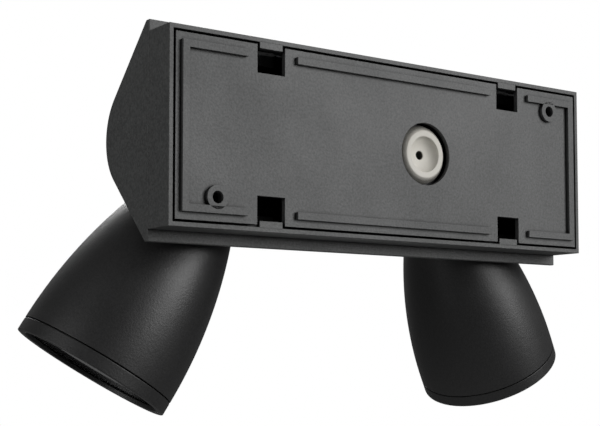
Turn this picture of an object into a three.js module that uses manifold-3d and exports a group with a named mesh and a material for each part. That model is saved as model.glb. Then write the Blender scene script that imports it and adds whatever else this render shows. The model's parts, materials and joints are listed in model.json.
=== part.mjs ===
// A two-headed outdoor security camera that hangs on a wall.
//
// Frame: +Z is up and -Y points away from the wall. The origin is the centre of
// the wall face, so the wall is the plane Y = 0. "right" is +X and "left" is -X,
// as seen from in front. All sizes are millimetres.

import * as THREE from 'three';
import { mergeVertices } from 'three/addons/utils/BufferGeometryUtils.js';
import Module from 'manifold-3d';

const wasm = await Module();
wasm.setup();

// ---------------------------------------------------------------- driving sizes

const GAP = 0.3; // between pieces that touch
const JOIN = 0.6; // how far two shapes sink into each other before they are joined
const OVERCUT = 2; // how far a cutter passes through what it cuts

// Rear frame and front housing
const LENGTH = 293.6;
const FRAME_HEIGHT = 102;
const FRAME_DEPTH = 21;
const FRAME_WALL = 2.4;
const LEDGE_WIDTH = 8; // inner ledge of the frame, and rear flange of the housing
const LEDGE_THICKNESS = 2;
const FACE_STEP = 6.3; // how far the housing stands out above and below the frame
const LIP_THICKNESS = 3.2; // flat edge between the parting plane and the slopes
const NOSE_RADIUS = 31;
const HOUSING_WALL = 3;
const FLANGE_THICKNESS = 3;
const GASKET_WIDTH = 3;
const GASKET_THICKNESS = 1.1;

// Wall plate
const RIM_GAP = 1.25; // open joint between the frame's rim and the plate
const PLATE_THICKNESS = 3;
const SKIRT_DEPTH = 7;
const SKIRT_WALL = 1.6;
const LAND_HEIGHT = 2.3; // raised bands that bear on the wall
const LAND_WIDTH = 3.95;
const LAND_INSET = 7.6; // frame's top or bottom edge to the land's outer edge
const LAND_END_INSET = 6.65; // the same at the frame's ends
const LAND_TO_WINDOW = 6.9;
const WINDOW_INSET = 61.2; // frame's end to the middle of a window
const WINDOW_WIDTH = 17.4;
const WINDOW_REACH = 18.7; // frame's edge to the window's inner edge
const TAB_WIDTH = 14.5;
const TAB_REACH = 5.7; // frame's edge to the tab's tip
const TAB_THICKNESS = 3;
const WALL_SCREW_BOSS_RADIUS = 6.3;
const WALL_SCREW_HOLE_RADIUS = 3.2;
const WALL_SCREW_FROM_END = 27.3;
const CABLE_HOLE_X = -21;
const CABLE_HOLE_RADIUS = 17.9;

// Cable grommet
const GROMMET_FLANGE_RADIUS = 16.8;
const GROMMET_FLANGE_DROP = 4.2; // below the plate's rear surface
const GROMMET_FLANGE_THICKNESS = 2;
const GROMMET_COLLAR_RADIUS = 13.5;
const GROMMET_COLLAR_BORE = 9.9;
const GROMMET_COLLAR_DROP = 0.7;
const GROMMET_FUNNEL_DEPTH = 5;
const GROMMET_FUNNEL_TURN = 0.72; // share of the funnel where its wall turns into its floor
const GROMMET_LEAD_IN = 2; // taper at the front end of the cable's way
const GROMMET_CABLE_RADIUS = 2.5;
const GROMMET_NECK_RADIUS = 11.5;
const GROMMET_LOCK_RADIUS = 14.5;

// Case screws
const PILLAR_RADIUS = 4.5;
const PILLAR_MARGIN = 0.7; // gasket's inner edge to the pillar
const PILLAR_TO_SKIRT = 1; // plate's skirt to the pillar's rear end
const CASE_SCREW_HEAD_RADIUS = 3.6;
const CASE_SCREW_HEAD_HEIGHT = 2.4;
const CASE_SCREW_RADIUS = 1.9;
const CASE_SCREW_GRIP = 10; // thread length inside the housing's boss
const CASE_SCREW_WELL = 1; // empty hole past the screw's tip
const SOCKET_WIDTH_SHARE = 0.5; // hexagon socket, as shares of its screw head
const SOCKET_FLOOR_SHARE = 0.45;

// Electronics
const TRAY_THICKNESS = 1.5;
const TRAY_EDGE_INSET = 10.6; // tray's edge to the frame's inner wall
const TRAY_FOOT_LENGTH = 9;
const TRAY_TO_WINDOW = 5;
const TRAY_SCREW_INSET = 5.8; // from the frame's inner wall
const TRAY_SCREW_HEAD_RADIUS = 2.3;
const TRAY_SCREW_RADIUS = 1.2;
const TRAY_SCREW_HEAD_HEIGHT = 1.6;
const BOARD_THICKNESS = 1.6;
const STANDOFF_RADIUS = 2.5;
const POWER_BOARD_MARGIN = 8.5; // tray's leg to the board's edge
const POWER_BOARD_STANDOFF = 5;
const POWER_BOARD_STEP_BACK = 9; // control board's end to the power board's
const GROMMET_TO_BOARD = 8;
const CONTROL_BOARD_HEIGHT = 42;
const CONTROL_BOARD_STANDOFF = 33;
const CONTROL_BOARD_INSET = 13.9; // from the tray's ends
const POST_INSET = 4; // board's edge to the middle of its standoffs
const TERMINAL_WIDTH = 12;
const LEAD_RADIUS = 2.2;
const LEAD_RUN = 20; // how far from the board a lead starts to turn into its socket
const LEAD_DROP = 5; // board's front face to the middle of the lead
const LEAD_STRAIGHT = 4; // how far a lead leaves its socket before it turns

// Swivels
const SWIVEL_INSET = 31.4; // housing's end to the swivel's axis
const SWIVEL_UP_SLOPE = 26.1; // lip's edge to the swivel's axis, along the slope
const SWIVEL_TURN = 45; // degrees outwards from pointing straight down
const WASHER_RADIUS = 14.5;
const WASHER_THICKNESS = 1.2;
const SEAT_RADIUS = 15;
const SEAT_THICKNESS = 4.5;
const SEAT_STAND = 0.9; // how far the round seat stands out from the cut back
const BOLT_RADIUS = 5.7;
const BOLT_BORE_RADIUS = 3.4;
const BOLT_FLANGE_RADIUS = 9.5;
const BOLT_FLANGE_THICKNESS = 2.5;
const LOCK_WASHER_RADIUS = 9.5;
const LOCK_WASHER_THICKNESS = 1;
const NUT_ACROSS_CORNERS = 19;
const NUT_THICKNESS = 5;
const BOLT_TAIL = 1.5;
const BOLT_POCKET = 1.2; // room round the bolt's flange inside the shell

// Heads: bells of revolution; "along" counts from the mouth towards the back
const HEAD_TILT = 45; // degrees between a head's axis and its swivel axis
const HEAD_BEHIND_CROSSING = 51; // from where the two axes cross to the bell's back
const BELL_SINK = 1.5; // how far the bell's side would sink past the slope, uncut
const MOUTH_RADIUS = 45.4;
const HEAD_LENGTH = 116;
const BELL_CURVE_START = 8.6;
const BELL_CURVE_RADIUS = 272;
const BELL_SHOULDER_RADIUS = 7;
const HEAD_WALL = 2.8;
const GLASS_LEDGE = 2.2; // ledge in the shell that the glass gasket rests on
const BEZEL_LENGTH = 7.2;
const BEZEL_GROOVE = 0.6;
const BEZEL_LIP = 4.6; // width of the rim round the glass
const BEZEL_LIP_THICKNESS = 2.6;
const BEZEL_WALL = 1.7;
const BEZEL_CHAMFER = 0.5;
const NECK_WALL = 1.6;
const GLASS_THICKNESS = 3;
const GLASS_GASKET_THICKNESS = 1.3;
const GLASS_GASKET_WIDTH = 1.6;

// Inside a head
const BAFFLE_LENGTH = 16;
const BAFFLE_WALL = 1.4;
const BAFFLE_STEPS = 4;
const BAFFLE_TAPER = 4.5;
const LED_BOARD_THICKNESS = 1.6;
const LED_BOARD_BORE = 15;
const LED_BOARD_MARGIN = 1; // shell's bore to the board's edge
const LED_COUNT = 8;
const LED_RADIUS = 4;
const LED_MARGIN = 2; // baffle's back edge to the emitters
const LED_HEIGHT = 3.4;
const SINK_PLATE_THICKNESS = 4;
const SINK_LENGTH = 24;
const SINK_MARGIN = 4.6; // shell's bore to the sink's edge
const FIN_COUNT = 12;
const FIN_THICKNESS = 1.8;
const HUB_WALL = 3; // sink's hub round the barrel
const FIN_ROOT = 1; // how far a fin's root sinks into the hub
const BARREL_RADIUS = 12.5;
const BARREL_HOOD = 10; // how far the barrel stands in front of the LED board
const BARREL_TAIL = 3; // how far it stands behind the heat sink
const HOOD_FLARE = 1.5; // barrel's side to the hood's
const HOOD_LENGTH = 2;
const HOOD_SLOPE = 1;
const HOOD_RIM = 1.7; // width of the hood's front rim
const LENS_RADIUS = 9.2;
const LENS_BULGE = 3;
const LENS_EDGE = 0.8;
const LENS_RECESS = 3.5;
const SENSOR_BOARD_SIZE = 34;
const PROCESSOR_SIZE = 18;
const PROCESSOR_HEIGHT = 2;
const LEAD_SOCKET_WIDTH = 12;
const LEAD_SOCKET_LENGTH = 5;
const LEAD_SOCKET_HEIGHT = 4;
const LEAD_SOCKET_INSET = 1; // board's edge to the socket

// How finely round shapes are divided
const BELL_SEGMENTS = 36;
const RING_SEGMENTS = 20;
const SMALL_SEGMENTS = 12;
const TINY_SEGMENTS = 8;
const BELL_OUTER_STEPS = 7;
const BELL_INNER_STEPS = 4;
const CORNER_STEPS = 3;
const LENS_STEPS = 4;

// -------------------------------------------------------------- places they give

const radians = THREE.MathUtils.degToRad;
const endX = LENGTH / 2;
const frameTop = FRAME_HEIGHT / 2;
const faceTop = frameTop + FACE_STEP;
const rearY = -LAND_HEIGHT;
const frameFrontY = rearY - FRAME_DEPTH;
const innerX = endX - FRAME_WALL;
const innerZ = frameTop - FRAME_WALL;
const ledgeFrontY = frameFrontY + GAP + GASKET_THICKNESS;
const ledgeRearY = ledgeFrontY + LEDGE_THICKNESS;
const housingRearY = frameFrontY - GAP;
const lipFrontY = housingRearY - LIP_THICKNESS;
const plateFrontY = rearY - PLATE_THICKNESS;
const windowX = endX - WINDOW_INSET;
const windowInnerZ = frameTop - WINDOW_REACH;
const caseScrewInset = GAP + GASKET_WIDTH + PILLAR_MARGIN + PILLAR_RADIUS;
const screwX = innerX - caseScrewInset;
const screwZ = innerZ - caseScrewInset;
const pillarRearY = plateFrontY - SKIRT_DEPTH - PILLAR_TO_SKIRT;
const swivelX = endX - SWIVEL_INSET;

// ------------------------------------------------------------------ solid helpers

/** A three.js geometry as a manifold solid; one that a cut or join made is merged already. */
function solid(geometry) {
  const bare = geometry.clone();
  bare.deleteAttribute('normal');
  bare.deleteAttribute('uv');
  const merged = geometry.userData.isMerged ? bare : mergeVertices(bare, 1e-4);
  return new wasm.Manifold(new wasm.Mesh({
    numProp: 3,
    vertProperties: merged.attributes.position.array,
    triVerts: new Uint32Array(merged.index.array),
  }));
}

/** A manifold solid as a three.js geometry with flat-shaded normals. */
function geometryOf(body) {
  const mesh = body.getMesh();
  const geometry = new THREE.BufferGeometry();
  geometry.setAttribute('position', new THREE.BufferAttribute(mesh.vertProperties, 3));
  geometry.setIndex(new THREE.BufferAttribute(mesh.triVerts, 1));
  geometry.computeVertexNormals();
  geometry.userData.isMerged = true;
  return geometry;
}

function join(geometry, ...others) {
  return geometryOf(others.reduce((body, other) => body.add(solid(other)), solid(geometry)));
}

function cut(geometry, ...others) {
  return geometryOf(others.reduce((body, other) => body.subtract(solid(other)), solid(geometry)));
}

function common(geometry, other) {
  return geometryOf(solid(geometry).intersect(solid(other)));
}

/** A box between two corners. */
function block(x0, x1, y0, y1, z0, z1) {
  const geometry = new THREE.BoxGeometry(x1 - x0, Math.abs(y1 - y0), z1 - z0);
  return geometry.translate((x0 + x1) / 2, (y0 + y1) / 2, (z0 + z1) / 2);
}

function rectangle(halfWidth, halfHeight) {
  return new THREE.Shape([
    new THREE.Vector2(-halfWidth, -halfHeight),
    new THREE.Vector2(halfWidth, -halfHeight),
    new THREE.Vector2(halfWidth, halfHeight),
    new THREE.Vector2(-halfWidth, halfHeight),
  ]);
}

/** A shape drawn in X and Z, whose rear face is at y0 and front face at y1 < y0. */
function slab(shape, y0, y1) {
  const geometry = new THREE.ExtrudeGeometry(shape, {
    depth: y0 - y1,
    bevelEnabled: false,
    curveSegments: SMALL_SEGMENTS,
  });
  return geometry.rotateX(Math.PI / 2).translate(0, y0, 0);
}

/** A round bar along Y. */
function rodY(radius, x, z, y0, y1, segments = SMALL_SEGMENTS) {
  const geometry = new THREE.CylinderGeometry(radius, radius, Math.abs(y1 - y0), segments);
  return geometry.translate(x, (y0 + y1) / 2, z);
}

/** A round bar along Z, about the Z axis. */
function rodZ(radius, z0, z1, segments = RING_SEGMENTS) {
  const geometry = new THREE.CylinderGeometry(radius, radius, z1 - z0, segments);
  return geometry.rotateX(Math.PI / 2).translate(0, 0, (z0 + z1) / 2);
}

/** A ring about the Z axis. */
function ringZ(outer, inner, z0, z1, segments = RING_SEGMENTS) {
  return turned([[inner, z0], [outer, z0], [outer, z1], [inner, z1]], segments);
}

/**
 * A closed profile of [radius, height] points turned about the Z axis. A profile that
 * starts and ends on the axis closes there; any other one is closed by a last point.
 * The points run anticlockwise with the radius to the right and the height up.
 */
function turned(profile, segments = RING_SEGMENTS) {
  const points = profile.map(([radius, height]) => new THREE.Vector2(radius, height));
  if (profile[0][0] > 0) {
    points.push(points[0].clone());
  }
  return new THREE.LatheGeometry(points, segments).rotateX(Math.PI / 2);
}

/** A round tube along a smooth curve through the points. */
function tube(points, radius, steps) {
  const section = new THREE.Shape();
  section.absarc(0, 0, radius, 0, 2 * Math.PI);
  const path = new THREE.CatmullRomCurve3(points.map((point) => new THREE.Vector3(...point)));
  return new THREE.ExtrudeGeometry(section, {
    steps,
    curveSegments: 4,
    extrudePath: path,
  });
}

function finish(color, roughness, metalness) {
  return new THREE.MeshStandardMaterial({ color, roughness, metalness });
}

/** A named mesh with its own material. */
function piece(name, geometry, material) {
  const mesh = new THREE.Mesh(geometry, material);
  mesh.name = name;
  return mesh;
}

// ---------------------------------------------------------------------- finishes

const powderCoat = () => finish(0x2f3133, 0.62, 0.35);
const mouldedBlack = () => finish(0x151617, 0.55, 0.0);
const rubberBlack = () => finish(0x101010, 0.85, 0.0);
const rubberCream = () => finish(0xd9d3c4, 0.7, 0.0);
const clearGlass = () => finish(0x30363a, 0.05, 0.0);
const boardGreen = () => finish(0x1c4a34, 0.5, 0.1);
const plainAluminium = () => finish(0x9a9da0, 0.4, 0.9);
const zincSteel = () => finish(0xa5a8aa, 0.35, 1.0);
const blackSteel = () => finish(0x202122, 0.4, 0.9);
const nylonWhite = () => finish(0xc9c8c2, 0.5, 0.0);

// -------------------------------------------------------------------- wall plate

/** The plate's outline: a rectangle with two open windows in each long edge. */
function plateOutline() {
  const halfWidth = innerX - RIM_GAP;
  const halfHeight = innerZ - RIM_GAP;
  const near = windowX - WINDOW_WIDTH / 2;
  const far = windowX + WINDOW_WIDTH / 2;
  const topEdge = [
    [halfWidth, halfHeight],
    [far, halfHeight],
    [far, windowInnerZ],
    [near, windowInnerZ],
    [near, halfHeight],
    [-near, halfHeight],
    [-near, windowInnerZ],
    [-far, windowInnerZ],
    [-far, halfHeight],
    [-halfWidth, halfHeight],
  ];
  const bottomEdge = topEdge.map(([x, z]) => [-x, -z]);
  return new THREE.Shape([...topEdge, ...bottomEdge].map(([x, z]) => new THREE.Vector2(x, z)));
}

/** A raised band that bears on the wall. */
function land(x0, x1, z0, z1) {
  return block(x0, x1, 0, rearY - JOIN, z0, z1);
}

function lands() {
  const outerZ = frameTop - LAND_INSET;
  const innerLandZ = outerZ - LAND_WIDTH;
  const outerX = endX - LAND_END_INSET;
  const armX = windowX + WINDOW_WIDTH / 2 + LAND_TO_WINDOW;
  const centreX = windowX - WINDOW_WIDTH / 2 - LAND_TO_WINDOW;
  const bands = [];
  for (const side of [-1, 1]) {
    const x0 = Math.min(side * outerX, side * (outerX - LAND_WIDTH));
    bands.push(land(x0, x0 + LAND_WIDTH, -outerZ, outerZ));
    const armX0 = Math.min(side * armX, side * outerX);
    bands.push(land(armX0, armX0 + outerX - armX, innerLandZ, outerZ));
    bands.push(land(armX0, armX0 + outerX - armX, -outerZ, -innerLandZ));
  }
  bands.push(land(-centreX, centreX, innerLandZ, outerZ));
  bands.push(land(-centreX, centreX, -outerZ, -innerLandZ));
  return bands;
}

/** The two wall-screw places, in opposite corners of the plate. */
function wallScrewPlaces() {
  const x = endX - WALL_SCREW_FROM_END;
  const z = frameTop - LAND_INSET - LAND_WIDTH / 2 - WALL_SCREW_BOSS_RADIUS;
  return [[x, -z], [-x, z]];
}

function wallPlate() {
  const sheet = slab(plateOutline(), rearY, plateFrontY);
  const skirt = cut(
    slab(rectangle(innerX - RIM_GAP, innerZ - RIM_GAP), plateFrontY + JOIN, plateFrontY - SKIRT_DEPTH),
    slab(
      rectangle(innerX - RIM_GAP - SKIRT_WALL, innerZ - RIM_GAP - SKIRT_WALL),
      plateFrontY + OVERCUT,
      plateFrontY - SKIRT_DEPTH - OVERCUT,
    ),
    ...windowCutters(),
  );
  const bosses = [];
  const holes = [];
  for (const [x, z] of wallScrewPlaces()) {
    bosses.push(rodY(WALL_SCREW_BOSS_RADIUS, x, z, 0, rearY - JOIN));
    holes.push(rodY(WALL_SCREW_HOLE_RADIUS, x, z, OVERCUT, plateFrontY - OVERCUT));
  }
  holes.push(rodY(CABLE_HOLE_RADIUS, CABLE_HOLE_X, 0, OVERCUT, plateFrontY - OVERCUT, RING_SEGMENTS));
  return piece('wall_plate', cut(join(sheet, skirt, ...lands(), ...bosses), ...holes), powderCoat());
}

/** The open windows, as boxes that run out past the plate's edges. */
function windowCutters() {
  const cutters = [];
  for (const side of [-1, 1]) {
    const x0 = side * windowX - WINDOW_WIDTH / 2;
    const x1 = side * windowX + WINDOW_WIDTH / 2;
    cutters.push(block(x0, x1, OVERCUT, -FRAME_DEPTH, windowInnerZ, frameTop));
    cutters.push(block(x0, x1, OVERCUT, -FRAME_DEPTH, -frameTop, -windowInnerZ));
  }
  return cutters;
}

// ----------------------------------------------------------------- cable grommet

/** Soft bush in the plate's cable hole: a cone up to its collar, a funnel and a lock ring. */
function cableGrommet() {
  const flangeRear = GROMMET_FLANGE_DROP;
  const flangeFront = flangeRear + GROMMET_FLANGE_THICKNESS;
  const neckEnd = flangeFront + TRAY_THICKNESS + 2 * GAP;
  const lockEnd = neckEnd + GROMMET_FLANGE_THICKNESS;
  const profile = [
    [GROMMET_CABLE_RADIUS, GROMMET_COLLAR_DROP + GROMMET_FUNNEL_DEPTH],
    [GROMMET_COLLAR_BORE * GROMMET_FUNNEL_TURN,
      GROMMET_COLLAR_DROP + GROMMET_FUNNEL_DEPTH * GROMMET_FUNNEL_TURN],
    [GROMMET_COLLAR_BORE, GROMMET_COLLAR_DROP],
    [GROMMET_COLLAR_RADIUS, GROMMET_COLLAR_DROP],
    [GROMMET_FLANGE_RADIUS, flangeRear],
    [GROMMET_FLANGE_RADIUS, flangeFront],
    [GROMMET_NECK_RADIUS, flangeFront],
    [GROMMET_NECK_RADIUS, neckEnd],
    [GROMMET_LOCK_RADIUS, neckEnd],
    [GROMMET_NECK_RADIUS, lockEnd],
    [GROMMET_CABLE_RADIUS + GROMMET_LEAD_IN, lockEnd],
    [GROMMET_CABLE_RADIUS, lockEnd - GROMMET_LEAD_IN],
  ];
  const mesh = piece('cable_grommet', turned(profile), rubberCream());
  mesh.rotation.x = Math.PI / 2;
  mesh.position.set(CABLE_HOLE_X, rearY, 0);
  return mesh;
}

// -------------------------------------------------------------------- rear frame

/** The four places of the case screws. */
function caseScrewPlaces() {
  return [[screwX, screwZ], [-screwX, screwZ], [-screwX, -screwZ], [screwX, -screwZ]];
}

function rearFrame() {
  const outside = slab(rectangle(endX, frameTop), rearY, frameFrontY);
  const room = slab(rectangle(innerX, innerZ), OVERCUT, frameFrontY - OVERCUT);
  const ledge = cut(
    slab(rectangle(innerX + JOIN, innerZ + JOIN), ledgeRearY, ledgeFrontY),
    slab(rectangle(innerX - LEDGE_WIDTH, innerZ - LEDGE_WIDTH), 0, frameFrontY - OVERCUT),
  );
  const additions = [ledge];
  for (const side of [-1, 1]) {
    const x0 = side * windowX - TAB_WIDTH / 2;
    const x1 = side * windowX + TAB_WIDTH / 2;
    const tabTip = frameTop - TAB_REACH;
    additions.push(block(x0, x1, rearY, rearY - TAB_THICKNESS, tabTip, innerZ + JOIN));
    additions.push(block(x0, x1, rearY, rearY - TAB_THICKNESS, -innerZ - JOIN, -tabTip));
  }
  const holes = [];
  for (const [x, z] of caseScrewPlaces()) {
    additions.push(rodY(PILLAR_RADIUS, x, z, pillarRearY, frameFrontY));
    holes.push(rodY(CASE_SCREW_RADIUS + GAP, x, z, OVERCUT, frameFrontY - OVERCUT, TINY_SEGMENTS));
  }
  for (const [x, z] of trayScrewPlaces()) {
    holes.push(rodY(TRAY_SCREW_RADIUS + GAP, x, z, 0, frameFrontY - OVERCUT, TINY_SEGMENTS));
  }
  return piece('rear_frame', cut(join(cut(outside, room), ...additions), ...holes), powderCoat());
}

// ----------------------------------------------------------------- front housing

/**
 * The housing's section in Y and Z, drawn a wall thickness in from the outside. The
 * inner one starts in front of the rear flange, where the slopes may already have begun.
 */
function wedgeSection(inset) {
  const slopeRun = faceTop - NOSE_RADIUS * Math.SQRT1_2;
  const noseY = lipFrontY - slopeRun + NOSE_RADIUS * Math.SQRT1_2;
  const rear = housingRearY - (inset > 0 ? FLANGE_THICKNESS : 0);
  const lipZ = faceTop - inset;
  const slopeStartY = lipFrontY + inset * (Math.SQRT2 - 1);
  const shape = new THREE.Shape();
  if (slopeStartY < rear) {
    shape.moveTo(slopeStartY, -lipZ);
    shape.lineTo(rear, -lipZ);
    shape.lineTo(rear, lipZ);
    shape.lineTo(slopeStartY, lipZ);
  } else {
    const startZ = lipZ - (slopeStartY - rear);
    shape.moveTo(rear, -startZ);
    shape.lineTo(rear, startZ);
  }
  shape.absarc(noseY, 0, NOSE_RADIUS - inset, radians(135), radians(225), false);
  return shape;
}

/** A section drawn in Y and Z, extruded along X. */
function bar(shape, x0, x1) {
  const geometry = new THREE.ExtrudeGeometry(shape, {
    depth: x1 - x0,
    bevelEnabled: false,
    curveSegments: SMALL_SEGMENTS,
  });
  const axes = new THREE.Matrix4().makeBasis(
    new THREE.Vector3(0, 1, 0),
    new THREE.Vector3(0, 0, 1),
    new THREE.Vector3(1, 0, 0),
  );
  return geometry.applyMatrix4(axes).translate(x0, 0, 0);
}

/** A swivel's place: +Z along its axis, out of the lower slope, at the slope's surface. */
function swivelFrame(side) {
  const frame = new THREE.Group();
  const down = SWIVEL_UP_SLOPE * Math.SQRT1_2;
  frame.position.set(side * swivelX, lipFrontY - down, -faceTop + down);
  frame.rotation.set(radians(135), 0, side * radians(SWIVEL_TURN));
  frame.updateMatrixWorld(true);
  return frame;
}

function frontHousing() {
  const outside = bar(wedgeSection(0), -endX, endX);
  const inside = bar(wedgeSection(HOUSING_WALL), -endX + HOUSING_WALL, endX - HOUSING_WALL);
  const flangeFrontY = housingRearY - FLANGE_THICKNESS;
  const mouth = slab(rectangle(innerX - LEDGE_WIDTH, innerZ - LEDGE_WIDTH), rearY, flangeFrontY - JOIN);
  const shell = cut(outside, inside, mouth);
  const bosses = [];
  const holes = [];
  const slopeInnerY = lipFrontY - (faceTop - screwZ) + HOUSING_WALL * Math.SQRT2;
  const holeEndY = housingRearY - CASE_SCREW_GRIP - CASE_SCREW_WELL;
  for (const [x, z] of caseScrewPlaces()) {
    bosses.push(rodY(PILLAR_RADIUS, x, z, housingRearY, slopeInnerY));
    holes.push(rodY(CASE_SCREW_RADIUS + GAP, x, z, 0, holeEndY, TINY_SEGMENTS));
  }
  for (const side of [-1, 1]) {
    const hole = rodZ(BOLT_RADIUS + GAP, -HOUSING_WALL - OVERCUT, OVERCUT);
    holes.push(hole.applyMatrix4(swivelFrame(side).matrixWorld));
  }
  const whole = common(join(shell, ...bosses), outside);
  return piece('front_housing', cut(whole, ...holes), powderCoat());
}

function housingGasket() {
  const outer = slab(rectangle(innerX - GAP, innerZ - GAP), ledgeFrontY - GAP, frameFrontY);
  const width = GAP + GASKET_WIDTH;
  const inner = slab(rectangle(innerX - width, innerZ - width), 0, frameFrontY - OVERCUT);
  return piece('housing_gasket', cut(outer, inner), rubberBlack());
}

/** A cap screw along Y whose head's underside is at seatY. */
function capScrew(x, z, seatY, headRadius, headHeight, shankRadius, tipY) {
  const head = rodY(headRadius, x, z, seatY + headHeight, seatY);
  const shank = rodY(shankRadius, x, z, seatY + JOIN, tipY, TINY_SEGMENTS);
  const floorY = seatY + headHeight * SOCKET_FLOOR_SHARE;
  const socket = rodY(headRadius * SOCKET_WIDTH_SHARE, x, z, seatY + headHeight + OVERCUT, floorY, 6);
  return cut(join(head, shank), socket);
}

function caseScrews() {
  return caseScrewPlaces().map(([x, z], index) => {
    const tipY = housingRearY - CASE_SCREW_GRIP;
    const geometry = capScrew(x, z, pillarRearY + GAP, CASE_SCREW_HEAD_RADIUS,
      CASE_SCREW_HEAD_HEIGHT, CASE_SCREW_RADIUS, tipY);
    return piece(`case_screw_${index + 1}`, geometry, zincSteel());
  });
}

// ------------------------------------------------------------------- electronics

const trayHalfLength = windowX - WINDOW_WIDTH / 2 - TRAY_TO_WINDOW;
const trayHalfHeight = innerZ - TRAY_EDGE_INSET;
const trayRearY = rearY - GROMMET_FLANGE_DROP - GROMMET_FLANGE_THICKNESS - GAP;
const trayFrontY = trayRearY - TRAY_THICKNESS;
const footFrontY = ledgeRearY + GAP;
const controlHalfLength = trayHalfLength - CONTROL_BOARD_INSET;

function trayScrewPlaces() {
  const x = trayHalfLength - TRAY_FOOT_LENGTH;
  const z = innerZ - TRAY_SCREW_INSET;
  return [[x, z], [-x, z], [-x, -z], [x, -z]];
}

/** Sheet-metal carrier: a plate with two legs whose feet stand on the frame's ledge. */
function electronicsTray() {
  const sheet = slab(rectangle(trayHalfLength, trayHalfHeight), trayRearY, trayFrontY);
  const parts = [];
  for (const up of [-1, 1]) {
    const legOuter = up * trayHalfHeight;
    const legInner = up * (trayHalfHeight - TRAY_THICKNESS);
    const footTip = up * (innerZ - GAP - 1);
    parts.push(block(-trayHalfLength, trayHalfLength, trayRearY - GAP, footFrontY,
      Math.min(legOuter, legInner), Math.max(legOuter, legInner)));
    parts.push(block(-trayHalfLength, trayHalfLength, footFrontY + TRAY_THICKNESS, footFrontY,
      Math.min(legInner, footTip), Math.max(legInner, footTip)));
  }
  const neckHole = rodY(GROMMET_NECK_RADIUS + GAP, CABLE_HOLE_X, 0, 0, trayFrontY - OVERCUT, RING_SEGMENTS);
  const holes = [neckHole];
  for (const [x, z] of trayScrewPlaces()) {
    holes.push(rodY(TRAY_SCREW_RADIUS + GAP, x, z, 0, footFrontY - OVERCUT, TINY_SEGMENTS));
  }
  return piece('electronics_tray', cut(join(sheet, ...parts), ...holes), zincSteel());
}

function trayScrews() {
  return trayScrewPlaces().map(([x, z], index) => {
    const seatY = footFrontY + TRAY_THICKNESS + GAP;
    const geometry = capScrew(x, z, seatY, TRAY_SCREW_HEAD_RADIUS, TRAY_SCREW_HEAD_HEIGHT,
      TRAY_SCREW_RADIUS, ledgeFrontY);
    return piece(`tray_screw_${index + 1}`, geometry, zincSteel());
  });
}

/** A circuit board on four standoffs, in front of the tray. */
function board(x0, x1, halfHeight, standoff) {
  const rear = trayFrontY - GAP;
  const boardY = rear - standoff;
  const sheet = block(x0, x1, boardY, boardY - BOARD_THICKNESS, -halfHeight, halfHeight);
  const posts = [];
  for (const x of [x0 + POST_INSET, x1 - POST_INSET]) {
    for (const z of [-halfHeight + POST_INSET, halfHeight - POST_INSET]) {
      posts.push(rodY(STANDOFF_RADIUS, x, z, rear, boardY - JOIN, TINY_SEGMENTS));
    }
  }
  return { frontY: boardY - BOARD_THICKNESS, geometry: join(sheet, ...posts) };
}

/** Mains supply: transformer, two reservoir capacitors, a choke and a fuse. */
function powerBoard() {
  const x0 = CABLE_HOLE_X + GROMMET_LOCK_RADIUS + GROMMET_TO_BOARD;
  const x1 = controlHalfLength - POWER_BOARD_STEP_BACK;
  const halfHeight = trayHalfHeight - TRAY_THICKNESS - POWER_BOARD_MARGIN;
  const { frontY, geometry } = board(x0, x1, halfHeight, POWER_BOARD_STANDOFF);
  const top = frontY + JOIN;
  const across = (share) => x0 + (x1 - x0) * share;
  const up = (share) => halfHeight * share;
  const components = [
    block(across(0.22), across(0.68), top, top - 19, up(-0.4), up(0.32)),
    rodY(6, across(0.83), up(0.5), top, top - 18),
    rodY(6, across(0.83), 0, top, top - 18),
    block(across(0.08), across(0.32), top, top - 12, up(0.45), up(0.86)),
    block(across(0.17), across(0.55), top, top - 7, up(-0.82), up(-0.6)),
  ];
  return piece('power_board', join(geometry, ...components), boardGreen());
}

/** Image processor: screened processor, memory, radio module and two head sockets. */
function controlBoard() {
  const half = controlHalfLength;
  const { frontY, geometry } = board(-half, half, CONTROL_BOARD_HEIGHT / 2, CONTROL_BOARD_STANDOFF);
  const top = frontY + JOIN;
  const components = [
    block(-16, 12, top, top - 4, -12, 12),
    block(20, 30, top, top - 2.4, -8, 8),
    block(-38, -24, top, top - 3, -9, 9),
    block(half - 9, half - 2, top, top - 6, -6, 6),
    block(-half + 2, -half + 9, top, top - 6, -6, 6),
  ];
  return piece('control_board', join(geometry, ...components), boardGreen());
}

/** Three-way screw terminal beside the cable entry. */
function terminalBlock() {
  const x1 = CABLE_HOLE_X - GROMMET_LOCK_RADIUS - 3;
  const x0 = x1 - TERMINAL_WIDTH;
  const rear = trayFrontY - GAP;
  const body = block(x0, x1, rear, rear - 15, -16, 16);
  const wells = [];
  for (const z of [-10, 0, 10]) {
    wells.push(rodY(2.6, (x0 + x1) / 2, z, rear - 9, rear - 15 - OVERCUT, TINY_SEGMENTS));
  }
  return piece('terminal_block', cut(body, ...wells), nylonWhite());
}

/** Lead from the control board to a swivel, inside the housing. */
function housingLead(side, name) {
  const swivel = swivelFrame(side);
  const inward = (distance) => new THREE.Vector3(0, 0, -distance).applyMatrix4(swivel.matrixWorld);
  const start = inward(HOUSING_WALL + NUT_THICKNESS + 9);
  const straight = inward(HOUSING_WALL + NUT_THICKNESS + 15);
  const socketX = side * (controlHalfLength + GAP);
  const socketY = trayFrontY - GAP - CONTROL_BOARD_STANDOFF - BOARD_THICKNESS - LEAD_DROP;
  const points = [
    start.toArray(),
    straight.toArray(),
    [socketX + side * LEAD_RUN, (straight.y + socketY) / 2, straight.z / 2],
    [socketX + (side * LEAD_RUN) / 2, socketY, 0],
    [socketX, socketY, 0],
  ];
  return piece(name, tube(points, LEAD_RADIUS, 12), rubberBlack());
}

// --------------------------------------------------------------- heads: the shell

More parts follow.
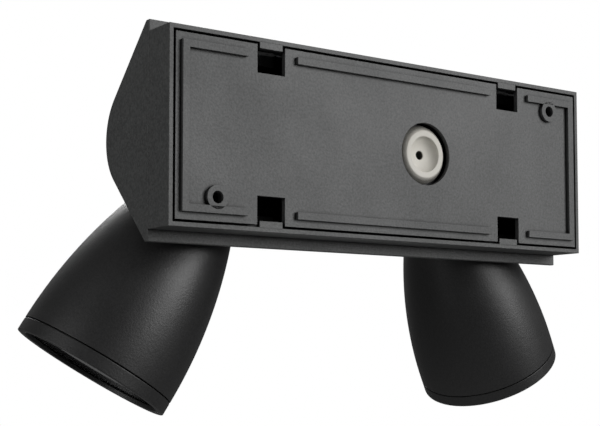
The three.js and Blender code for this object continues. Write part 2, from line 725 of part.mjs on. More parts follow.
/** Outer radius of the bell at a distance from the mouth. */
function bellRadius(along) {
  const past = Math.max(0, along - BELL_CURVE_START);
  return MOUTH_RADIUS - (BELL_CURVE_RADIUS - Math.sqrt(BELL_CURVE_RADIUS ** 2 - past ** 2));
}

/** Height of a place along the head, in the head's own frame (mouth up). */
const crossing = HEAD_LENGTH - HEAD_BEHIND_CROSSING;
const heightAt = (along) => crossing - along;

/** From where the axes cross, along the swivel's axis, to the bell's uncut side. */
function bellReach() {
  const tilt = radians(HEAD_TILT);
  let reach = MOUTH_RADIUS;
  for (let round = 0; round < 40; round += 1) {
    reach = (reach + bellRadius(crossing + reach * Math.cos(tilt)) / Math.sin(tilt)) / 2;
  }
  return reach;
}

const headStand = bellReach() - BELL_SINK;

/** Points of the bell's side from one place to another, then its round back corner. */
function bellSide(from, to, offset, shoulder, steps) {
  const points = [];
  const straightEnd = to - shoulder;
  for (let step = 0; step <= steps; step += 1) {
    const along = from + ((straightEnd - from) * step) / steps;
    points.push([bellRadius(along) - offset, heightAt(along)]);
  }
  const corner = bellRadius(straightEnd) - offset - shoulder;
  for (let turn = 1; turn <= CORNER_STEPS; turn += 1) {
    const angle = (turn / CORNER_STEPS) * (Math.PI / 2);
    points.push([
      corner + shoulder * Math.cos(angle),
      heightAt(straightEnd + shoulder * Math.sin(angle)),
    ]);
  }
  return points;
}

/** Moves a geometry from a swivel's frame into the head's own frame. */
function intoHead(geometry) {
  const head = new THREE.Matrix4().makeRotationX(radians(HEAD_TILT));
  head.setPosition(0, 0, headStand);
  return geometry.applyMatrix4(head.invert());
}

const seatFaceZ = WASHER_THICKNESS + 2 * GAP;
const cutBackZ = seatFaceZ + SEAT_STAND;
const seatInnerZ = seatFaceZ + SEAT_THICKNESS;
const neckRadius = MOUTH_RADIUS - BEZEL_WALL - GAP;
const neckBore = neckRadius - NECK_WALL;
const boreRadius = neckBore - GLASS_LEDGE;
const neckFront = BEZEL_LIP_THICKNESS + GAP;
const glassFront = BEZEL_LIP_THICKNESS + GAP;
const gasketFront = glassFront + GLASS_THICKNESS + GAP;
const glassShoulder = gasketFront + GLASS_GASKET_THICKNESS + GAP;
const shellFront = BEZEL_LENGTH + BEZEL_GROOVE;

function bellOutside() {
  const side = bellSide(shellFront, HEAD_LENGTH, 0, BELL_SHOULDER_RADIUS, BELL_OUTER_STEPS);
  return turned([
    [0, heightAt(HEAD_LENGTH)],
    ...side.reverse(),
    [neckRadius, heightAt(shellFront)],
    [neckRadius, heightAt(neckFront)],
    [0, heightAt(neckFront)],
  ], BELL_SEGMENTS);
}

function bellInside() {
  const back = HEAD_LENGTH - HEAD_WALL;
  const corner = BELL_SHOULDER_RADIUS - HEAD_WALL;
  const side = bellSide(glassShoulder, back, HEAD_WALL, corner, BELL_INNER_STEPS)
    .map(([radius, height]) => [Math.min(radius, boreRadius), height]);
  return turned([
    [0, heightAt(back)],
    ...side.reverse(),
    [neckBore, heightAt(glassShoulder)],
    [neckBore, heightAt(neckFront - OVERCUT)],
    [0, heightAt(neckFront - OVERCUT)],
  ], BELL_SEGMENTS);
}

/** Everything on the head's side of a plane square to the swivel's axis. */
function beyond(planeZ) {
  const reach = 2 * HEAD_LENGTH;
  return intoHead(block(-reach, reach, -reach, reach, planeZ, planeZ + 2 * reach));
}

function headShell(name) {
  const bell = common(bellOutside(), beyond(cutBackZ));
  const seat = intoHead(rodZ(SEAT_RADIUS, seatFaceZ, seatInnerZ));
  const room = common(bellInside(), beyond(seatInnerZ));
  const pocketTop = seatInnerZ + BOLT_FLANGE_THICKNESS + BOLT_POCKET;
  const pocket = intoHead(rodZ(BOLT_FLANGE_RADIUS + BOLT_POCKET, seatInnerZ, pocketTop));
  const boltHole = intoHead(rodZ(BOLT_RADIUS + GAP, -OVERCUT, seatInnerZ + OVERCUT));
  return piece(name, cut(join(bell, seat), room, pocket, boltHole), powderCoat());
}

// ------------------------------------------------------ heads: bezel, glass, seal

function bezelRing(name) {
  const lipRadius = MOUTH_RADIUS - BEZEL_LIP;
  const skirtBore = neckRadius + GAP;
  const profile = [
    [lipRadius, heightAt(BEZEL_LIP_THICKNESS)],
    [skirtBore, heightAt(BEZEL_LIP_THICKNESS)],
    [skirtBore, heightAt(BEZEL_LENGTH)],
    [MOUTH_RADIUS, heightAt(BEZEL_LENGTH)],
    [MOUTH_RADIUS, heightAt(BEZEL_CHAMFER)],
    [MOUTH_RADIUS - BEZEL_CHAMFER, heightAt(0)],
    [lipRadius + BEZEL_CHAMFER, heightAt(0)],
    [lipRadius, heightAt(BEZEL_CHAMFER)],
  ];
  return piece(name, turned(profile, BELL_SEGMENTS), powderCoat());
}

function frontGlass(name) {
  const back = heightAt(glassFront + GLASS_THICKNESS);
  return piece(name, rodZ(neckBore - GAP, back, heightAt(glassFront)), clearGlass());
}

function glassGasket(name) {
  const outer = neckBore - GAP;
  const back = heightAt(gasketFront + GLASS_GASKET_THICKNESS);
  const geometry = ringZ(outer, outer - GLASS_GASKET_WIDTH, back, heightAt(gasketFront));
  return piece(name, geometry, rubberBlack());
}

// ------------------------------------------------------- heads: camera and lights

const baffleFront = glassShoulder + GAP;
const sinkRadius = boreRadius - SINK_MARGIN;
const ledBoardRadius = boreRadius - LED_BOARD_MARGIN;
const baffleBackRadius = boreRadius - GAP - BAFFLE_WALL - BAFFLE_TAPER;
const ledCircleRadius = baffleBackRadius - LED_RADIUS - LED_MARGIN;
const ledBoardFront = baffleFront + BAFFLE_LENGTH + GAP;
const sinkFront = ledBoardFront + LED_BOARD_THICKNESS + GAP;
const sinkBack = sinkFront + SINK_LENGTH;
const barrelFront = ledBoardFront - BARREL_HOOD;
const barrelBack = sinkBack + BARREL_TAIL;

/** Stepped black cone that keeps stray light off the lens. */
function baffleRing(name) {
  const outer = boreRadius - GAP;
  const profile = [[outer, heightAt(baffleFront)]];
  const stepLength = BAFFLE_LENGTH / BAFFLE_STEPS;
  for (let step = 0; step < BAFFLE_STEPS; step += 1) {
    const radius = baffleBackRadius + BAFFLE_TAPER * (1 - step / (BAFFLE_STEPS - 1));
    profile.push([radius, heightAt(baffleFront + step * stepLength)]);
    profile.push([radius, heightAt(baffleFront + (step + 1) * stepLength)]);
  }
  profile.push([outer, heightAt(baffleFront + BAFFLE_LENGTH)]);
  return piece(name, turned(profile), mouldedBlack());
}

/** Ring-shaped board with its light emitters. */
function ledBoard(name) {
  const back = heightAt(ledBoardFront + LED_BOARD_THICKNESS);
  const front = heightAt(ledBoardFront);
  const sheet = ringZ(ledBoardRadius, LED_BOARD_BORE, back, front);
  const emitters = [];
  for (let index = 0; index < LED_COUNT; index += 1) {
    const angle = (index / LED_COUNT) * 2 * Math.PI;
    const emitter = rodZ(LED_RADIUS, front - JOIN, front + LED_HEIGHT, TINY_SEGMENTS);
    emitters.push(emitter.translate(
      ledCircleRadius * Math.cos(angle),
      ledCircleRadius * Math.sin(angle),
      0,
    ));
  }
  return piece(name, join(sheet, ...emitters), boardGreen());
}

/** Aluminium carrier: a disc with radial fins behind it. */
function heatSink(name) {
  const back = heightAt(sinkBack);
  const front = heightAt(sinkFront);
  const plate = rodZ(sinkRadius, front - SINK_PLATE_THICKNESS, front);
  const hubRadius = BARREL_RADIUS + HUB_WALL;
  const hub = rodZ(hubRadius, back, front - JOIN);
  const fins = [];
  for (let index = 0; index < FIN_COUNT; index += 1) {
    const fin = new THREE.BoxGeometry(sinkRadius - hubRadius, FIN_THICKNESS, SINK_LENGTH - JOIN);
    fin.translate((sinkRadius + hubRadius) / 2 - FIN_ROOT, 0, (front - JOIN + back) / 2);
    fins.push(fin.rotateZ((index / FIN_COUNT) * 2 * Math.PI));
  }
  const bore = rodZ(BARREL_RADIUS + GAP, back - OVERCUT, front + OVERCUT);
  return piece(name, cut(join(plate, hub, ...fins), bore), plainAluminium());
}

/** Stepped lens barrel, open in front, with a pocket for the front element. */
function lensBarrel(name) {
  const back = heightAt(barrelBack);
  const front = heightAt(barrelFront);
  const lensSeat = front - LENS_RECESS - LENS_BULGE;
  const profile = [
    [0, back],
    [BARREL_RADIUS, back],
    [BARREL_RADIUS, front - HOOD_LENGTH - HOOD_SLOPE],
    [BARREL_RADIUS + HOOD_FLARE, front - HOOD_LENGTH],
    [BARREL_RADIUS + HOOD_FLARE, front],
    [LENS_RADIUS + HOOD_RIM, front],
    [LENS_RADIUS + GAP, front - LENS_RECESS],
    [LENS_RADIUS + GAP, lensSeat],
    [0, lensSeat],
  ];
  return piece(name, turned(profile), mouldedBlack());
}

/** Front element of the lens: a shallow glass dome. */
function frontLens(name) {
  const base = heightAt(barrelFront) - LENS_RECESS - LENS_BULGE + GAP;
  const profile = [[0, base], [LENS_RADIUS, base]];
  for (let step = 0; step < LENS_STEPS; step += 1) {
    const angle = (step / LENS_STEPS) * (Math.PI / 2);
    const height = LENS_EDGE + (LENS_BULGE - LENS_EDGE) * Math.sin(angle);
    profile.push([LENS_RADIUS * Math.cos(angle), base + height]);
  }
  profile.push([0, base + LENS_BULGE]);
  return piece(name, turned(profile), clearGlass());
}

/** Small board with the image sensor, behind the barrel. */
function sensorBoard(name) {
  const front = heightAt(barrelBack + GAP);
  const back = front - BOARD_THICKNESS;
  const half = SENSOR_BOARD_SIZE / 2;
  const sheet = block(-half, half, -half, half, back, front);
  const chip = PROCESSOR_SIZE / 2;
  const processor = block(-chip, chip, -chip, chip, back - PROCESSOR_HEIGHT, back + JOIN);
  const socketEdge = -half + LEAD_SOCKET_INSET;
  const socket = block(-LEAD_SOCKET_WIDTH / 2, LEAD_SOCKET_WIDTH / 2, socketEdge,
    socketEdge + LEAD_SOCKET_LENGTH, back - LEAD_SOCKET_HEIGHT, back + JOIN);
  return piece(name, join(sheet, processor, socket), boardGreen());
}

// ---------------------------------------------------------- heads: swivel hardware

const boltHeadZ = seatInnerZ + GAP;
const lockWasherTop = -HOUSING_WALL - GAP;
const nutTop = lockWasherTop - LOCK_WASHER_THICKNESS - GAP;
const boltTailZ = nutTop - NUT_THICKNESS - BOLT_TAIL;

function pivotBolt(name) {
  const shank = rodZ(BOLT_RADIUS, boltTailZ, boltHeadZ + JOIN, SMALL_SEGMENTS);
  const flange = rodZ(BOLT_FLANGE_RADIUS, boltHeadZ, boltHeadZ + BOLT_FLANGE_THICKNESS);
  const bore = rodZ(BOLT_BORE_RADIUS, boltTailZ - OVERCUT, boltHeadZ + BOLT_FLANGE_THICKNESS + OVERCUT,
    SMALL_SEGMENTS);
  return piece(name, cut(join(shank, flange), bore), blackSteel());
}

function frictionWasher(name) {
  const geometry = ringZ(WASHER_RADIUS, BOLT_RADIUS + GAP, GAP, GAP + WASHER_THICKNESS);
  return piece(name, geometry, rubberBlack());
}

function lockWasher(name) {
  const bottom = lockWasherTop - LOCK_WASHER_THICKNESS;
  return piece(name, ringZ(LOCK_WASHER_RADIUS, BOLT_RADIUS + GAP, bottom, lockWasherTop), zincSteel());
}

function pivotNut(name) {
  const bottom = nutTop - NUT_THICKNESS;
  const hexagon = rodZ(NUT_ACROSS_CORNERS / 2, bottom, nutTop, 6);
  const bore = rodZ(BOLT_RADIUS + GAP, bottom - OVERCUT, nutTop + OVERCUT, SMALL_SEGMENTS);
  return piece(name, cut(hexagon, bore), zincSteel());
}

/** Lead from the sensor board through the hollow bolt into the housing. */
function headLead(name) {
  const onAxis = (distance) => {
    const point = new THREE.Vector3(0, 0, distance);
    return point.sub(new THREE.Vector3(0, 0, headStand)).applyAxisAngle(
      new THREE.Vector3(1, 0, 0),
      -radians(HEAD_TILT),
    ).toArray();
  };
  const board = heightAt(barrelBack + 2 * GAP) - BOARD_THICKNESS - LEAD_SOCKET_HEIGHT - LEAD_RADIUS;
  const socketY = (LEAD_SOCKET_LENGTH - SENSOR_BOARD_SIZE) / 2 + LEAD_SOCKET_INSET;
  const points = [
    [0, socketY, board],
    [0, socketY, board - LEAD_STRAIGHT],
    onAxis(boltHeadZ + BOLT_FLANGE_THICKNESS + 7),
    onAxis(boltHeadZ),
    onAxis(nutTop),
    onAxis(boltTailZ - 4),
  ];
  return piece(name, tube(points, LEAD_RADIUS, 14), rubberBlack());
}

// ---------------------------------------------------------------------- assembly

/** One head with its swivel, on the left (-1) or the right (+1). */
function headAssembly(side, suffix) {
  const swivel = swivelFrame(side);
  swivel.add(
    frictionWasher(`friction_washer_${suffix}`),
    lockWasher(`lock_washer_${suffix}`),
    pivotNut(`pivot_nut_${suffix}`),
    pivotBolt(`pivot_bolt_${suffix}`),
  );
  const head = new THREE.Group();
  head.position.set(0, 0, headStand);
  head.rotation.x = radians(HEAD_TILT);
  head.add(
    headShell(`head_shell_${suffix}`),
    bezelRing(`bezel_ring_${suffix}`),
    frontGlass(`front_glass_${suffix}`),
    glassGasket(`glass_gasket_${suffix}`),
    baffleRing(`baffle_ring_${suffix}`),
    ledBoard(`led_board_${suffix}`),
    heatSink(`heat_sink_${suffix}`),
    lensBarrel(`lens_barrel_${suffix}`),
    frontLens(`front_lens_${suffix}`),
    sensorBoard(`sensor_board_${suffix}`),
    headLead(`head_lead_${suffix}`),
  );
  swivel.add(head);
  return swivel;
}

const camera = new THREE.Group();
camera.add(
  wallPlate(),
  cableGrommet(),
  rearFrame(),
  housingGasket(),
  frontHousing(),
  ...caseScrews(),
  electronicsTray(),
  ...trayScrews(),
  powerBoard(),
  controlBoard(),
  terminalBlock(),
  housingLead(-1, 'housing_lead_left'),
  housingLead(1, 'housing_lead_right'),
  headAssembly(-1, 'left'),
  headAssembly(1, 'right'),
);

export default camera;
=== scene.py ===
import json
import math

import bmesh
import bpy
from mathutils import Matrix, Vector


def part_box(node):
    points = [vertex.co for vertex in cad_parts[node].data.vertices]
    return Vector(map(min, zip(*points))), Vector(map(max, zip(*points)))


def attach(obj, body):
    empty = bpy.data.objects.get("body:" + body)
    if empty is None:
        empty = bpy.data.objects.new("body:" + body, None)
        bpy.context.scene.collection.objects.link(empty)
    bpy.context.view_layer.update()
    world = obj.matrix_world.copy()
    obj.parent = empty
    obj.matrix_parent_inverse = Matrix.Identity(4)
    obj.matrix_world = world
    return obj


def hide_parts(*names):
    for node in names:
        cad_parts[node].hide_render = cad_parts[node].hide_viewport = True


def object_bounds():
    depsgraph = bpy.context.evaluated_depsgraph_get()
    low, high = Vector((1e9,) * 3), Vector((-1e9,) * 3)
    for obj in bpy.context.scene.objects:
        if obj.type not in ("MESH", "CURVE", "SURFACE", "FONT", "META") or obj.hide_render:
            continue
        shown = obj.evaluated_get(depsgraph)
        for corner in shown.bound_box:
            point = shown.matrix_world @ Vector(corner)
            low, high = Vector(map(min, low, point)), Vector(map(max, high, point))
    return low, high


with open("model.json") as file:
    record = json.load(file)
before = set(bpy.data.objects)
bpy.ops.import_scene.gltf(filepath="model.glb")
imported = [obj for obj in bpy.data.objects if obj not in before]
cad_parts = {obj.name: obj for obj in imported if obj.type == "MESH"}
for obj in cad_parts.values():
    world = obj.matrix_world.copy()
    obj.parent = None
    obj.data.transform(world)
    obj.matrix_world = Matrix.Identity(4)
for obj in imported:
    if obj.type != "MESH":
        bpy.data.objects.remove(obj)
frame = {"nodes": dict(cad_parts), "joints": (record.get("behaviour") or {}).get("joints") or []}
cad_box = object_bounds()

# --------------------------------------------------------------------- viewpoint and studio
# The camera is seen from behind and a little below, as it is before it goes on its wall.
# A pale floor runs out of sight. Soft boxes light it from behind, from one end and from the
# front, and a fourth fills the shade from below.

STAND = Vector((0.4563, 0.5462, -0.1154))
TURN = 144.65
RISE = 3.74
FOCAL_LENGTH = 76.6
SENSOR_WIDTH = 36.0
LENS_SHIFT = 0.10

lens = bpy.data.cameras.new("viewpoint")
lens.lens = FOCAL_LENGTH
lens.sensor_width = SENSOR_WIDTH
lens.shift_y = LENS_SHIFT
viewpoint = bpy.data.objects.new("viewpoint", lens)
viewpoint.location = STAND
viewpoint.rotation_euler = (math.radians(90 + RISE), 0, math.radians(TURN))
bpy.context.collection.objects.link(viewpoint)
bpy.context.scene.camera = viewpoint
bpy.context.scene.view_settings.view_transform = "Standard"


def soft_light(name, spot, width, watts, shines=True):
    """A square soft box that faces the middle of the camera. It can be kept out of the gloss,
    and none lights straight through glass, where it would leave specks."""
    lamp = bpy.data.lights.new(name, "AREA")
    lamp.size = width
    lamp.energy = watts
    stand = bpy.data.objects.new(name, lamp)
    stand.location = spot
    stand.visible_glossy = shines
    stand.visible_transmission = False
    stand.rotation_euler = (-Vector(spot)).to_track_quat("-Z", "Y").to_euler()
    bpy.context.collection.objects.link(stand)


soft_light("broad_light", (-1.1, 1.8, 0.55), 1.3, 40)
soft_light("side_light", (2.0, 0.1, 0.2), 1.4, 13)
soft_light("front_light", (-0.6, -1.7, 1.4), 1.2, 42)
soft_light("low_light", (-0.6, -1.4, -0.6), 1.0, 13, shines=False)

SEEN_WHITE = 1.0
CAST_WHITE = 0.12


def seen_and_cast(tree, seen, cast):
    """A strength that is one value to the eye and another to what it lights."""
    path = tree.nodes.new("ShaderNodeLightPath")
    pick = tree.nodes.new("ShaderNodeMix")
    pick.inputs["A"].default_value = cast
    pick.inputs["B"].default_value = seen
    tree.links.new(path.outputs["Is Camera Ray"], pick.inputs["Factor"])
    return pick.outputs["Result"]


world = bpy.data.worlds.new("white_room")
world.use_nodes = True
bpy.context.scene.world = world
sky = world.node_tree.nodes["Background"]
sky.inputs["Color"].default_value = (1, 1, 1, 1)
world.node_tree.links.new(seen_and_cast(world.node_tree, SEEN_WHITE, CAST_WHITE), sky.inputs["Strength"])

FLOOR_DROP = 2.5
FLOOR_REACH = 14
FLOOR_TONE = 0.7
FLOOR_ROUGHNESS = 0.9
floor_bm = bmesh.new()
bmesh.ops.create_grid(floor_bm, x_segments=1, y_segments=1, size=FLOOR_REACH)
bmesh.ops.translate(floor_bm, verts=floor_bm.verts, vec=(0, 0, cad_box[0].z - FLOOR_DROP))
floor_mesh = bpy.data.meshes.new("floor")
floor_bm.to_mesh(floor_mesh)
floor_bm.free()
floor = bpy.data.objects.new("floor", floor_mesh)
bpy.context.collection.objects.link(floor)
floor_paint = bpy.data.materials.new("floor_paint")
floor_paint.use_nodes = True
floor_skin = floor_paint.node_tree.nodes["Principled BSDF"]
floor_skin.inputs["Base Color"].default_value = (FLOOR_TONE, FLOOR_TONE, FLOOR_TONE, 1)
floor_skin.inputs["Roughness"].default_value = FLOOR_ROUGHNESS
floor_skin.inputs["Emission Color"].default_value = (1, 1, 1, 1)
floor_glow = seen_and_cast(floor_paint.node_tree, SEEN_WHITE, 0)
floor_paint.node_tree.links.new(floor_glow, floor_skin.inputs["Emission Strength"])
floor_mesh.materials.append(floor_paint)

# ------------------------------------------------------------------------------ rear frame
# Die-cast rim that the housing and the wall plate are built on: four walls, a ledge inside
# for the gasket, four tabs that hook into the plate's windows and a pillar for each screw.
# It has a fine, matt anthracite powder coat, baked on.

MM = 0.001
WELD = 1e-6
WALL = 2.4 * MM
LEDGE_WIDTH = 8 * MM
LEDGE_THICKNESS = 2 * MM
LEDGE_FROM_FRONT = 1.4 * MM
SINK_IN = 0.6 * MM
TAB_WIDTH = 14.5 * MM
TAB_THICKNESS = 3 * MM
TAB_REACH = 5.7 * MM
WINDOW_X = 85.6 * MM
PILLAR_RADIUS = 4.5 * MM
PILLAR_BORE = 2.2 * MM
PILLAR_LENGTH = 10 * MM
PILLAR_STEPS = 32
FRAME_EDGE = 0.2 * MM
HOLE_MARGIN = 2.2 * MM
HOLE_STEPS = 56

frame_low, frame_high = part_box("rear_frame")
end_x, top_z = frame_high.x, frame_high.z
rear_y, parting_y = frame_high.y, frame_low.y


def everything(bm):
    return bm.verts[:] + bm.edges[:] + bm.faces[:]


def casting(lines_x, lines_z, keep, rear, front, holes=()):
    """A flat casting: a sheet scored along lines, its unwanted cells dropped, and drawn out
    from its rear to its front. A hole is (x, z, radius)."""
    bm = bmesh.new()
    spans = [(lines_x[0], lines_z[0]), (lines_x[-1], lines_z[0])]
    spans += [(lines_x[-1], lines_z[-1]), (lines_x[0], lines_z[-1])]
    bm.faces.new([bm.verts.new((x, rear, z)) for x, z in spans])
    marks_x, marks_z = list(lines_x[1:-1]), list(lines_z[1:-1])
    for x, z, radius in holes:
        marks_x += [x - radius - HOLE_MARGIN, x + radius + HOLE_MARGIN]
        marks_z += [z - radius - HOLE_MARGIN, z + radius + HOLE_MARGIN]
    for x in marks_x:
        bmesh.ops.bisect_plane(bm, geom=everything(bm), plane_co=(x, 0, 0), plane_no=(1, 0, 0))
    for z in marks_z:
        bmesh.ops.bisect_plane(bm, geom=everything(bm), plane_co=(0, 0, z), plane_no=(0, 0, 1))

    def near(place, x, z, radius, slack):
        reach = radius + HOLE_MARGIN + slack
        return abs(place.x - x) < reach and abs(place.z - z) < reach

    dropped = []
    for face in bm.faces:
        middle = face.calc_center_median()
        if not keep(middle.x, middle.z) or any(near(middle, *hole, -WELD) for hole in holes):
            dropped.append(face)
    bmesh.ops.delete(bm, geom=dropped, context="FACES")
    for x, z, radius in holes:
        border = [e for e in bm.edges if e.is_boundary
                  and all(near(v.co, x, z, radius, 2 * WELD) for v in e.verts)]
        place = Matrix.Translation((x, rear, z)) @ Matrix.Rotation(math.radians(90), 4, "X")
        round_verts = bmesh.ops.create_circle(bm, segments=HOLE_STEPS, radius=radius,
                                              matrix=place)["verts"]
        rim = list({e for v in round_verts for e in v.link_edges})
        bmesh.ops.triangle_fill(bm, edges=border + rim, use_beauty=True)
    drawn = bmesh.ops.extrude_face_region(bm, geom=bm.faces[:])["geom"]
    moved = [part for part in drawn if isinstance(part, bmesh.types.BMVert)]
    bmesh.ops.translate(bm, verts=moved, vec=(0, front - rear, 0))
    bmesh.ops.recalc_face_normals(bm, faces=bm.faces)
    return bm


def ring_casting(half_x, half_z, width, rear, front):
    """A rectangular ring of an even width."""
    lines_x = (-half_x, width - half_x, half_x - width, half_x)
    lines_z = (-half_z, width - half_z, half_z - width, half_z)

    def on_ring(x, z):
        return abs(x) > half_x - width or abs(z) > half_z - width

    return casting(lines_x, lines_z, on_ring, rear, front)


def turned(outline, place=Matrix.Identity(4), steps=64, loop=True):
    """An outline of (radius, height) points spun about the Z axis of a place."""
    bm = bmesh.new()
    points = [bm.verts.new((radius, 0, height)) for radius, height in outline]
    followers = points[1:] + points[:1] if loop else points[1:]
    edges = [bm.edges.new(pair) for pair in zip(points, followers)]
    bmesh.ops.spin(bm, geom=points + edges, cent=(0, 0, 0), axis=(0, 0, 1), dvec=(0, 0, 0),
                   angle=math.tau, steps=steps, use_merge=True)
    bmesh.ops.remove_doubles(bm, verts=bm.verts, dist=WELD)
    bmesh.ops.recalc_face_normals(bm, faces=bm.faces)
    bmesh.ops.transform(bm, matrix=place, verts=bm.verts)
    return bm


def hollow_bar(outer, inner, low, high, place, steps=40):
    """A tube between two heights of a place's Z axis."""
    return turned([(inner, low), (outer, low), (outer, high), (inner, high)], place, steps)


def block(low, high):
    bm = bmesh.new()
    bmesh.ops.create_cube(bm, size=1)
    bmesh.ops.scale(bm, verts=bm.verts, vec=Vector(high) - Vector(low))
    bmesh.ops.translate(bm, verts=bm.verts, vec=(Vector(high) + Vector(low)) / 2)
    return bm


def soften(bm, width, segments=2, least=30):
    """Rounds each edge that turns more than the least angle."""
    edges = [e for e in bm.edges if e.is_manifold and e.calc_face_angle() > math.radians(least)]
    bmesh.ops.bevel(bm, geom=edges, offset=width, offset_type="OFFSET", segments=segments,
                    profile=0.5, affect="EDGES", material=-1, clamp_overlap=False)
    return bm


def gather(*shells):
    """Several closed shells in one bmesh."""
    whole = bmesh.new()
    for shell in shells:
        carrier = bpy.data.meshes.new("carrier")
        shell.to_mesh(carrier)
        shell.free()
        whole.from_mesh(carrier)
        bpy.data.meshes.remove(carrier)
    return whole


SHARP = math.radians(12)


def finished(bm, name, body, skin, slot, *stands_for):
    """The bmesh as a finished piece that rides on a body and stands for its CAD nodes."""
    mesh = bpy.data.meshes.new(name)
    bm.to_mesh(mesh)
    bm.free()
    mesh.shade_smooth()
    mesh.set_sharp_from_angle(angle=SHARP)
    mesh.materials.append(skin)
    piece = bpy.data.objects.new(name, mesh)
    bpy.context.collection.objects.link(piece)
    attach(piece, body)
    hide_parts(*stands_for)
    return piece


def new_group(name, inputs, outputs):
    """An empty node group with named sockets, its first input a vector."""
    tree = bpy.data.node_groups.new(name, "ShaderNodeTree")
    tree.interface.new_socket("Vector", in_out="INPUT", socket_type="NodeSocketVector")
    for socket, value in inputs.items():
        made = tree.interface.new_socket(socket, in_out="INPUT", socket_type="NodeSocketFloat")
        made.default_value = value
    for socket in outputs:
        tree.interface.new_socket(socket, in_out="OUTPUT", socket_type="NodeSocketFloat")
    return tree, tree.nodes.new("NodeGroupInput"), tree.nodes.new("NodeGroupOutput")


def sum_up(tree, operation, first, second):
    """A math node on two values, each a socket or a number."""
    node = tree.nodes.new("ShaderNodeMath")
    node.operation = operation
    for socket, value in zip(node.inputs, (first, second)):
        if isinstance(value, (int, float)):
            socket.default_value = value
        else:
            tree.links.new(value, socket)
    return node.outputs[0]


def noise(tree, vector, scale, detail=2.0, roughness=0.5):
    """A noise texture's value; the scale is a socket or a number."""
    node = tree.nodes.new("ShaderNodeTexNoise")
    node.inputs["Detail"].default_value = detail
    node.inputs["Roughness"].default_value = roughness
    tree.links.new(vector, node.inputs["Vector"])
    if isinstance(scale, (int, float)):
        node.inputs["Scale"].default_value = scale
    else:
        tree.links.new(scale, node.inputs["Scale"])
    return node.outputs["Fac"]


def spread(tree, value, low, high, to_low, to_high):
    """A value's range moved to another one, and held inside it."""
    node = tree.nodes.new("ShaderNodeMapRange")
    tree.links.new(value, node.inputs["Value"])
    for socket, number in zip(("From Min", "From Max", "To Min", "To Max"), (low, high, to_low, to_high)):
        node.inputs[socket].default_value = number
    return node.outputs["Result"]


# Baked powder flows out into fine grains, with a slow waviness and wide clouds under them.
WAVE_TO_GRAIN = 0.22
CLOUD_TO_GRAIN = 0.02
grain_tree, grain_in, grain_out = new_group("coat_grain", {"Scale": 1000.0, "Wave": 0.35},
                                            ("Height", "Speckle", "Cloud"))
fine_grain = noise(grain_tree, grain_in.outputs["Vector"], grain_in.outputs["Scale"], 3.0, 0.6)
wave_scale = sum_up(grain_tree, "MULTIPLY", grain_in.outputs["Scale"], WAVE_TO_GRAIN)
slow_wave = noise(grain_tree, grain_in.outputs["Vector"], wave_scale, 2.0)
waviness = sum_up(grain_tree, "MULTIPLY", slow_wave, grain_in.outputs["Wave"])
grain_tree.links.new(sum_up(grain_tree, "ADD", fine_grain, waviness), grain_out.inputs["Height"])
grain_tree.links.new(spread(grain_tree, fine_grain, 0.32, 0.68, 0, 1), grain_out.inputs["Speckle"])
cloud_scale = sum_up(grain_tree, "MULTIPLY", grain_in.outputs["Scale"], CLOUD_TO_GRAIN)
clouds = noise(grain_tree, grain_in.outputs["Vector"], cloud_scale, 4.0, 0.55)
grain_tree.links.new(spread(grain_tree, clouds, 0.3, 0.7, 0, 1), grain_out.inputs["Cloud"])

# Dust that settles where a surface faces up, in uneven drifts.
DRIFT_SCALE = 60.0
dust_tree, dust_in, dust_out = new_group("settled_dust", {"Amount": 0.3}, ("Dust",))
facing = dust_tree.nodes.new("ShaderNodeNewGeometry")
parts = dust_tree.nodes.new("ShaderNodeSeparateXYZ")
dust_tree.links.new(facing.outputs["Normal"], parts.inputs["Vector"])
upward = spread(dust_tree, parts.outputs["Z"], 0.1, 0.9, 0, 1)
drift_noise = noise(dust_tree, dust_in.outputs["Vector"], DRIFT_SCALE, 5.0, 0.65)
drifts = spread(dust_tree, drift_noise, 0.4, 0.75, 0, 1)
settled = sum_up(dust_tree, "MULTIPLY", upward, drifts)
dust_tree.links.new(sum_up(dust_tree, "MULTIPLY", settled, dust_in.outputs["Amount"]),
                    dust_out.inputs["Dust"])

# Painted shade: an ambient occlusion mask darkens corners and the feet of raised bands, where shade falls.
painted_shade_tree, painted_shade_in, painted_shade_out = new_group("painted_crevice_shade", {"Reach": 0.004}, ("Unoccluded",))
hollow = painted_shade_tree.nodes.new("ShaderNodeAmbientOcclusion")
hollow.samples = 8
painted_shade_tree.links.new(painted_shade_in.outputs["Reach"], hollow.inputs["Distance"])
painted_shade_tree.links.new(spread(painted_shade_tree, hollow.outputs["AO"], 0.55, 0.86, 0, 1),
                       painted_shade_out.inputs["Unoccluded"])


def new_skin(name, roughness=0.5, metallic=0.0):
    """A material with its shader, and the object's own coordinates."""
    skin = bpy.data.materials.new(name)
    skin.use_nodes = True
    tree = skin.node_tree
    shader = tree.nodes["Principled BSDF"]
    shader.inputs["Roughness"].default_value = roughness
    shader.inputs["Metallic"].default_value = metallic
    return skin, tree, shader, tree.nodes.new("ShaderNodeTexCoord").outputs["Object"]


def use_group(tree, group, vector, **values):
    node = tree.nodes.new("ShaderNodeGroup")
    node.node_tree = group
    tree.links.new(vector, node.inputs["Vector"])
    for socket, value in values.items():
        node.inputs[socket.replace("_", " ")].default_value = value
    return node.outputs


def blend_colours(tree, amount, first, second):
    """A colour between two, each a colour or a socket, by a mask."""
    node = tree.nodes.new("ShaderNodeMix")
    node.data_type = "RGBA"
    tree.links.new(amount, node.inputs["Factor"])
    for socket, colour in zip((node.inputs[6], node.inputs[7]), (first, second)):
        if isinstance(colour, tuple):
            socket.default_value = (*colour, 1)
        else:
            tree.links.new(colour, socket)
    return node.outputs[2]


def raise_bumps(tree, shader, height, depth, strength=1.0):
    bump = tree.nodes.new("ShaderNodeBump")
    bump.inputs["Distance"].default_value = depth
    bump.inputs["Strength"].default_value = strength
    tree.links.new(height, bump.inputs["Height"])
    tree.links.new(bump.outputs["Normal"], shader.inputs["Normal"])
